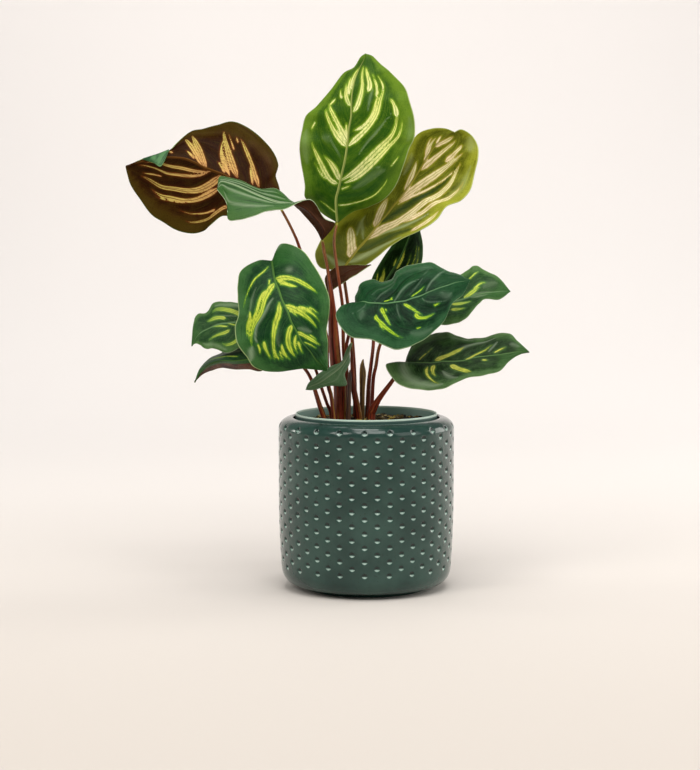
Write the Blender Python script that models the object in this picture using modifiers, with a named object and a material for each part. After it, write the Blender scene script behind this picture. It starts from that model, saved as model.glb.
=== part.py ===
"""Potted calathea: a house plant in a dimpled pot, one object for each separate piece.

Run it in Blender 4.5 (blender --background --python part.py, or from the text editor).
The pot stands on z = 0 with its axis on +Z. The viewer of the photo looks along +Y.
Sizes and places below are in millimetres and become metres in the mesh.
"""
import math

import bmesh
import bpy
from mathutils import Matrix, Vector

MM = 0.001

# Outer pot: a glazed cylinder with a rolled shoulder and staggered rows of dimples
POT_RADIUS = 70.0
POT_FOOT_RADIUS = 49.0
POT_FOOT_HEIGHT = 3.5
POT_CORNER_RADIUS = 12.0
POT_TOP_Z = 137.5
POT_LIP_RADIUS = 58.5
SHOULDER_Z = 128.5  # the wall bends inwards from here up to the lip
POT_WALL = 6.0
POT_FLOOR_Z = 10.0
POT_NARROWING = 2.0  # the wall leans in by this much towards the foot
DIMPLE_COLUMNS = 44  # the even ones hold one dimple more than the odd ones
DIMPLE_ROWS = 21  # cells up the wall; every second cell of a column has a dimple
DIMPLE_LOWEST_Z = 20.3
DIMPLE_HIGHEST_Z = 131.5
DIMPLE_SIZE = 4.4
DIMPLE_DEPTH = 1.1
FRONT_COLUMN_OFF_AXIS = math.radians(1.5)

# Inner pot: the thin plastic grow pot that stands in the outer one
LINER_TOP_RADIUS = 56.5
LINER_BOTTOM_RADIUS = 52.0
LINER_TOP_Z = 140.5
LINER_WALL = 1.2
LINER_RIM_BAND = 5.0
GAP = 0.3  # between pieces that touch

# Soil: fills the inner pot to below its rim
SOIL_TOP_Z = 133.0
SOIL_MOUND = 1.5
HOLE_CLEARANCE = 0.35

# Blades
BLADE_THICKNESS = 0.7
BLADE_ROWS = 13
BLADE_COLUMNS = 6
STEM_TO_BLADE = 0.7

# Each blade has its margins and midrib: rows of (left margin, midrib, right margin) from the
# base to the tip, as seen from above the upper face with the tip ahead, then the tip's own point.
# The belly lifts each half between midrib and margin; the ripple waves the margin.
BLADES = {
    "top": dict(
        rows=[
            ((-24, 9, 292), (-23, 8, 292), (-22, 9, 292)),
            ((-34, 12, 298), (-24, 5, 302), (-11, 10, 300)),
            ((-43, 12, 306), (-24, 3, 311), (2, 9, 304)),
            ((-49, 10, 312), (-22, 1, 319), (15, 7, 311)),
            ((-49, 7, 322), (-20, -1, 328), (24, 5, 322)),
            ((-52, 6.5, 339), (-17, -3, 341), (30, 2, 338)),
            ((-53, 5.5, 352), (-15, -3.5, 354), (34, 4, 350)),
            ((-51, 6.5, 365), (-14, -4, 365), (38, 2, 359)),
            ((-48, 5, 376), (-12, -4, 376), (38, 3, 373)),
            ((-39, 7, 384), (-12, -3, 386), (34, 3, 388)),
            ((-28, 5.5, 397), (-11, -1.5, 396), (30, 5, 399)),
            ((-19, 7, 409), (-9, 1, 404), (19, 6, 410)),
            ((-10, 7, 414), (-6, 4, 412), (11, 7, 417)),
            ((-5, 8, 422), (-2, 7, 420), (5, 8, 423)),
        ],
        tip=(-1, 9, 425), belly=3.0, ripple=1.2, waves=5, colour="bright_leaf"),
    "upper_left": dict(
        rows=[
            ((-67, 4, 304), (-68, 4, 303), (-69, 4, 302)),
            ((-69, 6, 319), (-77, 0, 309), (-83, 2, 300)),
            ((-72, 9.5, 329), (-84, -1, 313), (-92, 3, 299)),
            ((-70, 11, 338), (-90, -2, 317), (-100, 4, 297)),
            ((-75, 14, 349), (-98, -2, 322), (-109, 7, 297)),
            ((-85, 14.5, 360), (-105, -1.5, 325), (-116, 7.5, 296)),
            ((-96, 17, 368), (-112, -1, 329), (-125, 10, 289)),
            ((-107, 16.5, 372), (-120, 0, 332), (-132, 9.5, 284)),
            ((-119, 17, 369), (-128, 0, 335), (-141, 10.5, 283)),
            ((-130, 15, 366), (-136, 1, 339), (-152, 9, 286)),
            ((-140, 14.5, 364), (-144, 2, 342), (-162, 9.5, 292)),
            ((-150, 11.5, 355.5), (-154, 3, 343), (-171, 8, 298)),
            ((-156.5, 9, 349), (-163, 3.5, 343), (-180, 8.5, 310)),
            ((-165, 7.2, 346), (-173, 4, 341), (-187, 7, 321)),
            ((-177, 6, 342.5), (-182, 4.5, 338.5), (-190, 6, 331)),
        ],
        tip=(-191, 5, 336), belly=3.0, ripple=1.2, waves=5, colour="maroon_leaf"),
    "twisted": dict(
        rows=[
            ((-34, -8, 279), (-35, -8, 279), (-36, -8, 279)),
            ((-25, -10, 291), (-34, -14, 287), (-40, -12, 287)),
            ((-33, -16, 296), (-43, -22, 299), (-49, -16, 298)),
            ((-44, -30, 310), (-51, -28, 305), (-55, -14, 304)),
            ((-62, -42, 304), (-60, -30, 307), (-60, -14, 310)),
            ((-75, -48, 302), (-70, -33, 308), (-70, -20, 318)),
            ((-86, -50, 298), (-83, -36, 313), (-83, -26, 319)),
            ((-98, -50, 295), (-96, -38, 319), (-95, -30, 324)),
            ((-107, -48, 295), (-106, -40, 323), (-106, -32, 327)),
            ((-108, -46, 308), (-113, -42, 324), (-114, -36, 328)),
        ],
        tip=(-115, -48, 318), belly=1.5, ripple=0.6, waves=4, colour="green_leaf"),
    "upper_right": dict(
        rows=[
            ((-17, 14, 254), (-19, 14, 254), (-20, 14, 254)),
            ((-2, 10, 257), (-14, 16, 261), (-36, 18, 255)),
            ((9, 12, 264), (-7, 18, 270), (-41, 22, 264)),
            ((20, 14, 273), (1, 21, 279), (-39, 25, 273)),
            ((31, 16, 280), (9, 24, 289), (-33, 28, 283)),
            ((46, 17, 286), (15, 27, 296), (-24, 31, 292)),
            ((57, 22, 294), (22, 30, 305), (-11, 34, 304)),
            ((64, 23.5, 304), (29, 32, 313), (2, 37, 314)),
            ((77, 26.5, 309), (35, 34, 321), (14, 39, 322)),
            ((84, 26.5, 318), (41, 35.5, 330), (23, 40, 332)),
            ((87, 28.5, 330), (46, 36.5, 338), (31, 41, 343)),
            ((90, 28.5, 342), (51, 37.5, 346), (36, 41, 354)),
            ((90, 30, 352), (56, 37.5, 353), (42, 41, 363)),
            ((85, 30.5, 361), (62, 36.5, 358), (53, 40, 367)),
            ((77, 31, 366), (67, 35, 362), (64, 38, 367)),
        ],
        tip=(71, 33, 364), belly=3.0, ripple=1.2, waves=5, colour="olive_leaf"),
    "left": dict(
        rows=[
            ((-73, -35, 264), (-74, -35, 263), (-75, -35, 263)),
            ((-66, -33, 276), (-73, -40, 259.5), (-85, -35, 263)),
            ((-51, -38.5, 272), (-71, -48, 248), (-97, -38.5, 256)),
            ((-42, -41.5, 261), (-68, -54, 241), (-100, -42, 245)),
            ((-34, -46, 248), (-65, -59, 233), (-100, -45, 234)),
            ((-29, -48.5, 235), (-61, -63, 225), (-99, -50, 222)),
            ((-29, -52.5, 223), (-58, -65, 217), (-102, -50.5, 212)),
            ((-31, -53, 210), (-54, -66, 210), (-100, -54.5, 200)),
            ((-30, -54, 201), (-50, -65, 202), (-93, -56.5, 190)),
            ((-30, -52.5, 192), (-44, -62.5, 195), (-86, -56.5, 181)),
            ((-30, -51.5, 186), (-39, -57.5, 187), (-69, -56, 178)),
            ((-30, -50, 181), (-34, -53, 182), (-50, -54, 180)),
        ],
        tip=(-31, -49, 178), belly=3.0, ripple=1.0, waves=5, colour="green_leaf"),
    "right": dict(
        rows=[
            ((-9, -25, 229), (-9, -26, 228), (-10, -27, 227)),
            ((-9, -21, 234), (-6, -32, 230), (-14, -34, 229)),
            ((-7, -18, 239), (-2, -36, 231), (-20, -39, 228)),
            ((-5, -16, 244), (2, -38.5, 230), (-24, -46, 221)),
            ((4, -11, 247), (10, -41, 230), (-20, -52, 212)),
            ((12, -13, 246), (16, -43, 230), (-11, -57, 205)),
            ((20, -12, 248), (23, -44, 231), (1, -59, 203)),
            ((25, -8, 254), (29, -45, 232), (11, -62, 200)),
            ((34, -6, 259), (35, -45, 234), (22, -61.5, 196)),
            ((43, -10, 260), (42, -44.5, 236), (32, -62.5, 197)),
            ((52, -9, 260), (48, -44, 239), (42, -59, 202)),
            ((61, -14, 256), (56, -42, 242), (52, -57, 210)),
            ((68, -17, 253), (63, -39.5, 244), (60, -51, 217)),
            ((74, -22, 251), (69, -36.5, 246), (66, -46, 230)),
            ((78, -27, 249), (76, -32.5, 247), (75, -38, 237)),
        ],
        tip=(81, -30, 248), belly=2.5, ripple=1.0, waves=5, colour="dark_leaf"),
    "far_right": dict(
        rows=[
            ((43, 4, 227), (43, 4, 226), (43, 4, 224)),
            ((50, 14, 236), (52, 3, 226), (48, -4, 218)),
            ((61, 18, 244), (63, 3, 228), (59, -8, 211)),
            ((73, 20, 249), (74, 3, 230), (71, -9, 213)),
            ((82, 20, 254), (84, 3, 233), (80, -8, 217)),
            ((89, 20, 257), (92, 3.5, 235), (87, -6, 226)),
            ((98, 17, 252), (99, 4, 236), (94, -3, 231)),
            ((107, 13, 247), (107, 5, 237), (106, 1, 231)),
        ],
        tip=(115, 6, 237), belly=1.5, ripple=0.8, waves=4, colour="dark_leaf"),
    "lower_right": dict(
        rows=[
            ((30, -15, 180), (29.5, -16, 179.5), (29, -17, 179)),
            ((32, -11, 186), (34, -20, 182), (26, -23, 182)),
            ((34, -5, 191), (38, -22, 182), (19, -27, 183)),
            ((37, 0, 195), (44, -23, 182), (15, -32, 180)),
            ((46, 5, 201), (52, -23, 182), (20, -36, 172)),
            ((55, 8, 204), (60, -22.5, 183), (29, -39, 165)),
            ((64, 7, 204), (69, -22, 183), (42, -39.5, 162)),
            ((74, 9, 201), (78, -20.5, 184), (55, -38, 163)),
            ((84, 6, 200), (86, -19.5, 186), (67, -36.5, 166)),
            ((96, 5.5, 200), (95, -18, 187), (80, -32, 171)),
            ((105, 4, 204), (104, -16.5, 188), (94, -30, 174)),
            ((114, 0, 204), (112, -15, 189), (105, -26, 176)),
            ((120, -4.5, 198), (118, -14.3, 190), (112, -22, 183)),
            ((125, -8.5, 194), (124, -13, 190), (120, -17, 188)),
        ],
        tip=(129, -12, 190), belly=2.0, ripple=1.0, waves=5, colour="dark_leaf"),
    "behind": dict(
        rows=[
            ((4, 48, 227.5), (5, 48, 227.5), (6, 48, 227)),
            ((3, 50, 233), (9, 49, 233), (16, 51, 230)),
            ((3, 52, 240), (14, 50, 240), (26, 54, 234)),
            ((7, 55, 250), (21, 52, 251), (39, 58, 244)),
            ((14, 58, 262), (28, 54, 262), (46, 61, 258)),
            ((22, 60, 273), (33, 56, 273), (47, 62, 271)),
            ((29, 61, 282), (37, 58, 283), (45, 62, 283)),
        ],
        tip=(42, 60, 294), belly=1.5, ripple=0.8, waves=4, colour="dark_leaf"),
    "under": dict(
        rows=[
            ((-29.4, 3.2, 236), (-30, 4, 236), (-30.6, 4.8, 236)),
            ((-24, 3, 240), (-27, 5, 244), (-33, 6, 248)),
            ((-15, 2, 246), (-19, 5, 250), (-25, 7, 256)),
            ((-7, 2, 251), (-9, 5, 255), (-13, 7, 258)),
        ],
        tip=(4, 4, 258), belly=0.6, ripple=0.4, waves=3, colour="maroon_leaf"),
    "far_left": dict(
        rows=[
            ((-82, -22, 213), (-82, -22, 214), (-82, -22, 216)),
            ((-90, -30, 202), (-90, -22, 214), (-90, -14, 224)),
            ((-99, -33, 195), (-99, -23, 215), (-100, -12, 228)),
            ((-108, -34, 191), (-108, -24, 214), (-110, -12, 230)),
            ((-118, -34, 194), (-116, -26, 213), (-120, -14, 229)),
            ((-125, -34.5, 194), (-123, -27.5, 210), (-126, -16, 222)),
            ((-130, -33.5, 197), (-129, -29, 207), (-133, -19, 220)),
            ((-134, -33, 198), (-133, -30.5, 203), (-136, -25, 213)),
        ],
        tip=(-137, -32, 196), belly=1.5, ripple=0.8, waves=4, colour="green_leaf"),
    "lowest_left": dict(
        rows=[
            ((-72, -24, 186), (-72, -24, 188), (-72, -24, 189)),
            ((-82, -24, 176), (-82, -31, 187), (-82, -20, 197)),
            ((-92, -24, 177), (-93, -36, 186), (-94, -14, 201)),
            ((-103, -23, 177), (-103, -38, 185), (-105, -12, 197)),
            ((-114, -23, 178), (-114, -38, 185), (-114, -14, 190)),
            ((-122, -23, 176), (-123, -36, 182), (-123, -18, 186)),
            ((-129, -26, 173), (-130, -31, 176), (-131, -27, 178)),
        ],
        tip=(-135, -29, 167), belly=1.0, ripple=0.3, waves=4, colour="green_leaf"),
    "young": dict(
        rows=[
            ((-11, -15, 197), (-12, -15, 197), (-13, -15, 197)),
            ((-13, -17, 190), (-14, -18, 190), (-16, -17, 192)),
            ((-13, -19, 182), (-17, -22, 184), (-20, -20, 183)),
            ((-17, -20, 173), (-22, -25, 178), (-27, -22, 180)),
            ((-16, -20, 164), (-30, -27, 172), (-36, -23, 175)),
            ((-30, -24, 164), (-37, -27, 167), (-42, -24, 170)),
            ((-41, -25, 161), (-44, -26, 164), (-46, -24, 166)),
        ],
        tip=(-48, -25, 161), belly=0.8, ripple=0.4, waves=3, colour="green_leaf"),
}

# Each stem rises from the soil to its blade: points (x, y, z, radius) from the buried end up.
# The last point is worked out from the blade's base.
STEMS = {
    "top": [(-14.5, 5, 118, 1.7), (-16, 5, 161, 1.6), (-18, 4, 190, 1.5), (-18.5, 2, 210, 1.4),
            (-19, -2, 227, 1.3), (-23, -4, 255, 1.2), (-25.5, -2, 277, 1.1)],
    "upper_left": [(-18, 9, 118, 1.6), (-22.5, 9, 161, 1.5), (-30, 8, 195, 1.4),
                   (-38.5, 6, 226, 1.3), (-46.5, 6, 250, 1.2), (-53.5, 5, 273, 1.2),
                   (-58, 5, 284, 1.1), (-63.5, 5, 295, 1.1)],
    "twisted": [(-21, 0, 118, 4.6), (-21, 0, 136, 4.9), (-21, 0, 162, 5), (-24, -1, 180, 4.7),
                (-26, -4, 207, 4), (-27.5, -7, 232, 2.3), (-30.5, -8, 255, 1.3),
                (-33.5, -8, 270, 1.3)],
    "upper_right": [(-9, 12, 118, 1.7), (-9, 12, 160, 1.6), (-10.5, 13, 190, 1.5),
                    (-13, 14, 214, 1.4), (-17, 14, 242, 1.3)],
    "left": [(-24, -11, 118, 1.7), (-27.5, -10, 152, 1.6), (-30, -9, 163, 1.6),
             (-31, -9, 182, 1.5), (-32, -10, 204, 1.5), (-40, -14, 227, 1.4), (-54, -20, 247, 1.3),
             (-66, -27, 260, 1.2)],
    "right": [(-13.5, -6, 118, 1.6), (-15, -6, 163, 1.5), (-16, -5, 190, 1.4), (-14, -9, 203, 1.3),
              (-11, -20, 219, 1.2)],
    "far_right": [(4, 14, 118, 1.7), (5.5, 15, 162, 1.5), (8, 15, 177, 1.4), (11, 14, 193, 1.3),
                  (19, 12, 206, 1.2), (33.5, 8, 219, 1.1)],
    "lower_right": [(3, -7, 118, 3.4), (4, -7, 139, 3.4), (5.5, -8, 144, 3.2),
                    (10.5, -10, 153, 2.2), (20.5, -13, 167, 1.6), (26, -14.5, 176, 1.3)],
    "behind": [(0.5, 9, 118, 2), (2, 12, 160, 1.7), (4, 18, 177, 1.5), (6, 28, 194, 1.4),
               (5.5, 38, 208, 1.3)],
    "under": [(-22, 15, 118, 1.4), (-22.5, 14, 161, 1.3), (-26, 12, 194, 1.2), (-29, 8, 222, 1.1)],
    "far_left": [(-27.5, -4.5, 118, 1.5), (-28, -5, 139, 1.4), (-31.5, -6, 149, 1.3),
                 (-35.5, -8, 161, 1.3), (-39.5, -10, 174, 1.2), (-46, -13, 191, 1.2),
                 (-58.5, -18, 207, 1.1), (-71, -21, 213, 1.1)],
    "lowest_left": [(-32, -8, 118, 2.2), (-33.5, -9, 136, 2.1), (-37.5, -11, 149, 1.9),
                    (-43.5, -14, 168, 1.4), (-49.5, -17, 178, 1.3), (-58.5, -20, 186, 1.2)],
    "young": [(-5, -1, 118, 2.7), (-6, -2, 138, 2.7), (-10, -6, 161, 2.2), (-11, -8, 177, 1.6),
              (-11.5, -9, 188, 1.2), (-12, -10, 195, 1.0)],
}

# New growth that stands between the stems: (x, y, z, radius) from the buried end to the tip
SHOOTS = {
    "rolled_leaf": [(-3, 4.5, 118, 1.8), (-3, 4, 143, 1.9), (-3, 4, 158, 2.1), (-2.6, 4, 171, 2.6),
                    (-3, 4, 178, 1.7), (-2.4, 4, 183, 0.4)],
    "bract": [(-14, -12, 118, 1.8), (-14, -12, 140, 1.8), (-13.6, -12, 160, 1.7),
              (-13.2, -12, 170, 1.5), (-12.8, -12, 176, 0.4)],
}

# Colours as Principled values: base colour, roughness
FINISHES = {
    "teal_glaze": ((0.045, 0.085, 0.085), 0.25),
    "liner_plastic": ((0.09, 0.16, 0.15), 0.5),
    "potting_soil": ((0.035, 0.022, 0.012), 0.95),
    "bright_leaf": ((0.10, 0.27, 0.05), 0.45),
    "green_leaf": ((0.03, 0.15, 0.045), 0.45),
    "dark_leaf": ((0.02, 0.10, 0.05), 0.45),
    "olive_leaf": ((0.25, 0.27, 0.05), 0.5),
    "maroon_leaf": ((0.06, 0.015, 0.01), 0.5),
    "stem_red": ((0.13, 0.03, 0.015), 0.5),
    "shoot_olive": ((0.12, 0.08, 0.02), 0.5),
}


def clear_scene():
    """Remove every object that the file starts with."""
    for thing in list(bpy.data.objects):
        bpy.data.objects.remove(thing, do_unlink=True)


def new_collection(name):
    """Link a new collection to the scene and return it."""
    group = bpy.data.collections.new(name)
    bpy.context.scene.collection.children.link(group)
    return group


def material(name):
    """Return the Principled material of that name, made on first use."""
    made = bpy.data.materials.get(name)
    if made:
        return made
    colour, roughness = FINISHES[name]
    made = bpy.data.materials.new(name)
    made.use_nodes = True
    shader = made.node_tree.nodes["Principled BSDF"]
    shader.inputs["Base Color"].default_value = (*colour, 1.0)
    shader.inputs["Roughness"].default_value = roughness
    made.diffuse_color = (*colour, 1.0)
    return made


def add_object(name, data, group, finish=None):
    """Link an object that carries the given mesh or curve."""
    thing = bpy.data.objects.new(name, data)
    group.objects.link(thing)
    if finish:
        thing.data.materials.append(material(finish))
    return thing


def freeze(thing, weld=0.0):
    """Turn an object's modifiers, or its curve, into its mesh."""
    name = thing.name
    groups = list(thing.users_collection)
    graph = bpy.context.evaluated_depsgraph_get()
    mesh = bpy.data.meshes.new_from_object(thing.evaluated_get(graph))
    solid = bpy.data.objects.new(name + "_solid", mesh)
    solid.matrix_world = thing.matrix_world.copy()
    for group in groups:
        group.objects.link(solid)
    bpy.data.objects.remove(thing, do_unlink=True)
    solid.name = name
    shape = bmesh.new()
    shape.from_mesh(mesh)
    if weld:
        bmesh.ops.remove_doubles(shape, verts=shape.verts, dist=weld * MM)
    bmesh.ops.recalc_face_normals(shape, faces=shape.faces)
    shape.to_mesh(mesh)
    shape.free()
    return solid


def turned(name, profile, steps, group, finish):
    """Turn a profile of (radius, z) points, top to bottom down its outer side, about +Z."""
    mesh = bpy.data.meshes.new(name)
    points = [(radius * MM, 0.0, height * MM) for radius, height in profile]
    edges = [(index, index + 1) for index in range(len(points) - 1)
             if points[index][0] or points[index + 1][0]]
    mesh.from_pydata(points, edges, [])
    thing = add_object(name, mesh, group, finish)
    screw = thing.modifiers.new("Turn", "SCREW")
    screw.steps = steps
    screw.render_steps = steps
    screw.use_merge_vertices = True
    screw.merge_threshold = 0.00005
    screw.use_normal_calculate = True
    return freeze(thing, weld=0.01)


def along(points, place):
    """Return the point at place (0 to 1) on a Catmull-Rom curve through the given points."""
    spans = len(points) - 1
    span = min(int(place * spans), spans - 1)
    part = place * spans - span
    before = points[max(span - 1, 0)]
    start = points[span]
    end = points[span + 1]
    after = points[min(span + 2, spans)]
    return 0.5 * (
        2.0 * start
        + (end - before) * part
        + (2.0 * before - 5.0 * start + 4.0 * end - after) * part ** 2
        + (3.0 * start - before - 3.0 * end + after) * part ** 3
    )


def tube(name, points, radii, group, finish=None, stations=11):
    """Sweep a round tube with filled ends along points in millimetres."""
    curve = bpy.data.curves.new(name, "CURVE")
    curve.dimensions = "3D"
    curve.bevel_depth = MM
    curve.bevel_resolution = 2
    curve.use_fill_caps = True
    spline = curve.splines.new("POLY")
    spline.points.add(stations - 1)
    sizes = [Vector((radius, 0.0, 0.0)) for radius in radii]
    for index in range(stations):
        place = index / (stations - 1)
        where = along(points, place) * MM
        spline.points[index].co = (*where, 1.0)
        spline.points[index].radius = along(sizes, place).x
    return freeze(add_object(name, curve, group, finish), weld=0.01)


def wall_radius(height):
    """Return the outer pot's radius at a height on its dimpled wall."""
    middle = 0.5 * (DIMPLE_LOWEST_Z + DIMPLE_HIGHEST_Z)
    low = max(0.0, (middle - height) / (middle - DIMPLE_LOWEST_Z))
    rise = min(max(0.0, (height - SHOULDER_Z) / (POT_TOP_Z - SHOULDER_Z)), 1.0)
    bend = (POT_RADIUS - POT_LIP_RADIUS) * (1.0 - math.sqrt(1.0 - rise ** 2))
    return POT_RADIUS - POT_NARROWING * low ** 2 - bend


def outer_pot(group):
    """Turn the outer pot, then press a dimple into every second cell of its wall."""
    cell = (DIMPLE_HIGHEST_Z - DIMPLE_LOWEST_Z) / (DIMPLE_ROWS - 1)
    wall_top = DIMPLE_HIGHEST_Z + 0.5 * cell
    wall_bottom = DIMPLE_LOWEST_Z - 0.5 * cell
    inner = POT_RADIUS - POT_WALL
    profile = [
        (POT_LIP_RADIUS, POT_TOP_Z - 5.0),
        (POT_LIP_RADIUS, POT_TOP_Z - 1.0),
        (POT_LIP_RADIUS + 1.0, POT_TOP_Z - 0.1),
    ]
    for height in (POT_TOP_Z - 0.4, POT_TOP_Z - 1.5):
        profile.append((wall_radius(height), height))
    for row in range(DIMPLE_ROWS + 1):
        height = wall_top - row * cell
        profile.append((wall_radius(height), height))
    low_radius = wall_radius(wall_bottom)
    corner = POT_CORNER_RADIUS
    drop = wall_bottom - POT_FOOT_HEIGHT
    for angle in (30, 60, 90):
        turn = math.radians(angle)
        profile.append((low_radius - corner * (1.0 - math.cos(turn)),
                        wall_bottom - drop * math.sin(turn)))
    profile += [
        (POT_FOOT_RADIUS, POT_FOOT_HEIGHT),
        (POT_FOOT_RADIUS, 0.0),
        (0.0, 0.0),
    ]
    profile += [
        (0.0, POT_FLOOR_Z),
        (inner - 6.0, POT_FLOOR_Z),
        (inner, POT_FLOOR_Z + 6.0),
        (inner, POT_TOP_Z - 12.0),
        (POT_LIP_RADIUS + 3.0, POT_TOP_Z - 6.5),
        (POT_LIP_RADIUS, POT_TOP_Z - 5.0),
    ]
    pot = turned("outer_pot", profile, DIMPLE_COLUMNS, group, "teal_glaze")
    step = 2.0 * math.pi / DIMPLE_COLUMNS
    front = 0.75 * DIMPLE_COLUMNS - 1
    turn = 1.5 * math.pi - FRONT_COLUMN_OFF_AXIS - (front + 0.5) * step
    shape = bmesh.new()
    shape.from_mesh(pot.data)
    cells = []
    for face in shape.faces:
        middle = face.calc_center_median() / MM
        if not wall_bottom < middle.z < wall_top or middle.xy.length < inner + 1.0:
            continue
        row = int((middle.z - wall_bottom) / cell)
        column = int(math.atan2(middle.y, middle.x) / step % DIMPLE_COLUMNS)
        if (row + column + int(front)) % 2 == 0:
            cells.append(face)
    wide = step * POT_RADIUS
    inset = 0.5 * (cell - DIMPLE_SIZE) * MM
    bmesh.ops.inset_individual(shape, faces=cells, thickness=inset, use_even_offset=True)
    for face in cells:
        middle = face.calc_center_median()
        across = Vector((-middle.y, middle.x, 0.0)).normalized()
        squeeze = DIMPLE_SIZE / (wide - (cell - DIMPLE_SIZE))
        for corner_point in face.verts:
            aside = (corner_point.co - middle).dot(across)
            corner_point.co -= across * aside * (1.0 - squeeze)
    bmesh.ops.poke(shape, faces=cells, offset=-DIMPLE_DEPTH * MM)
    bmesh.ops.rotate(shape, verts=shape.verts, matrix=Matrix.Rotation(turn, 3, "Z"))
    bmesh.ops.recalc_face_normals(shape, faces=shape.faces)
    shape.to_mesh(pot.data)
    shape.free()
    return pot


def liner_radius(height):
    """Return the inner pot's outer radius at a height."""
    bottom = POT_FLOOR_Z + GAP
    part = (height - bottom) / (LINER_TOP_Z - LINER_RIM_BAND - bottom)
    return LINER_BOTTOM_RADIUS + (LINER_TOP_RADIUS - LINER_BOTTOM_RADIUS) * min(part, 1.0)


def inner_pot(group):
    """Turn the thin inner pot, which stands on the outer pot's floor."""
    bottom = POT_FLOOR_Z + GAP
    band = LINER_TOP_Z - LINER_RIM_BAND
    profile = [
        (LINER_TOP_RADIUS - LINER_WALL, LINER_TOP_Z),
        (LINER_TOP_RADIUS, LINER_TOP_Z),
        (LINER_TOP_RADIUS, band),
        (LINER_BOTTOM_RADIUS, bottom),
        (0.0, bottom),
        (0.0, bottom + LINER_WALL),
        (LINER_BOTTOM_RADIUS - LINER_WALL, bottom + LINER_WALL),
        (LINER_TOP_RADIUS - LINER_WALL, band),
        (LINER_TOP_RADIUS - LINER_WALL, LINER_TOP_Z),
    ]
    return turned("inner_pot", profile, 48, group, "liner_plastic")


def soil(group, cutters):
    """Fill the inner pot with soil and bore a plain hole for each stem that stands in it."""
    bottom = POT_FLOOR_Z + GAP + LINER_WALL + GAP
    inset = LINER_WALL + GAP
    profile = [
        (0.0, SOIL_TOP_Z + SOIL_MOUND),
        (30.0, SOIL_TOP_Z + 0.7 * SOIL_MOUND),
        (liner_radius(SOIL_TOP_Z) - inset, SOIL_TOP_Z),
        (liner_radius(bottom) - inset, bottom),
        (0.0, bottom),
    ]
    fill = turned("soil", profile, 32, group, "potting_soil")
    for cutter in cutters:
        bore = fill.modifiers.new(cutter.name, "BOOLEAN")
        bore.operation = "DIFFERENCE"
        bore.solver = "EXACT"
        bore.object = cutter
    return freeze(fill, weld=0.001)


def blade_point(rows, tip, belly, ripple, waves, place, across):
    """Return the point of a blade at place (0 base, 1 tip) and across (-1 left, 1 right)."""
    lines = []
    for side in range(3):
        line = [Vector(row[side]) for row in rows]
        line.append(Vector(tip))
        lines.append(line)
    left, middle, right = (along(line, place) for line in lines)
    ahead = along(lines[1], min(place + 0.02, 1.0)) - along(lines[1], max(place - 0.02, 0.0))
    upward = (right - left).cross(ahead)
    if upward.length > 1e-6:
        upward.normalize()
    side = abs(across)
    edge = left if across < 0 else right
    point = middle + (edge - middle) * side
    fade = math.sin(math.pi * min(place, 1.0))
    lift = belly * 4.0 * side * (1.0 - side) * fade
    phase = 0.0 if across < 0 else 1.3
    lift += ripple * side ** 2 * fade * math.sin(2.0 * math.pi * waves * place + phase)
    return point + upward * lift


def blade(name, rows, tip, belly, ripple, waves, colour, group):
    """Model one leaf blade as a thin shell between its margins."""
    shape = bmesh.new()
    bmesh.ops.create_grid(shape, x_segments=BLADE_COLUMNS, y_segments=BLADE_ROWS, size=1.0)
    for vertex in shape.verts:
        place = 0.5 * (vertex.co.y + 1.0)
        across = vertex.co.x
        vertex.co = blade_point(rows, tip, belly, ripple, waves, place, across) * MM
    bmesh.ops.remove_doubles(shape, verts=shape.verts, dist=0.00001)
    bmesh.ops.triangulate(shape, faces=shape.faces)
    mesh = bpy.data.meshes.new(name)
    shape.to_mesh(mesh)
    shape.free()
    leaf = add_object(name, mesh, group, colour)
    shell = leaf.modifiers.new("Thickness", "SOLIDIFY")
    shell.thickness = BLADE_THICKNESS * MM
    shell.offset = 0.0
    return freeze(leaf)


def stem_line(name):
    """Return a stem's points and radii, ending just short of its blade's base."""
    points = [Vector(point[:3]) for point in STEMS[name]]
    radii = [point[3] for point in STEMS[name]]
    base = Vector(BLADES[name]["rows"][0][1])
    back = (points[-1] - base).normalized()
    points.append(base + back * STEM_TO_BLADE)
    radii.append(1.0)
    return points, radii


def hole_cutter(name, points, radii, group):
    """Return a tube a little wider and lower than the buried end of a stem."""
    low = points[0] - Vector((0.0, 0.0, GAP))
    wide = [radius + HOLE_CLEARANCE for radius in radii]
    return tube(name + "_hole", [low] + points[1:], wide, group)


def main():
    """Build every piece of the potted plant."""
    clear_scene()
    plant = new_collection("potted_calathea")
    tools = new_collection("cutters")
    outer_pot(plant)
    inner_pot(plant)
    cutters = []
    lines = {f"stem_{name}": stem_line(name) for name in STEMS}
    for name, path in SHOOTS.items():
        lines[name] = ([Vector(point[:3]) for point in path], [point[3] for point in path])
    for name, (points, radii) in lines.items():
        finish = "shoot_olive" if name in SHOOTS else "stem_red"
        tube(name, points, radii, plant, finish)
        cutters.append(hole_cutter(name, points, radii, tools))
    soil(plant, cutters)
    for cutter in cutters:
        cutter.hide_render = True
        cutter.display_type = "WIRE"
    for name, leaf in BLADES.items():
        blade(f"leaf_{name}", group=plant, **leaf)


main()
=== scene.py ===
"""Potted calathea: the finished look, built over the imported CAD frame.

The leaves, stems, soil and pots are modelled again here, finer than their CAD solids and in the
same places. Lengths are in millimetres unless a name says otherwise.
"""

import logging
import math
from dataclasses import dataclass, field
from enum import Enum

import bmesh
import bpy
import numpy as np
from mathutils import Matrix, Vector

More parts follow.
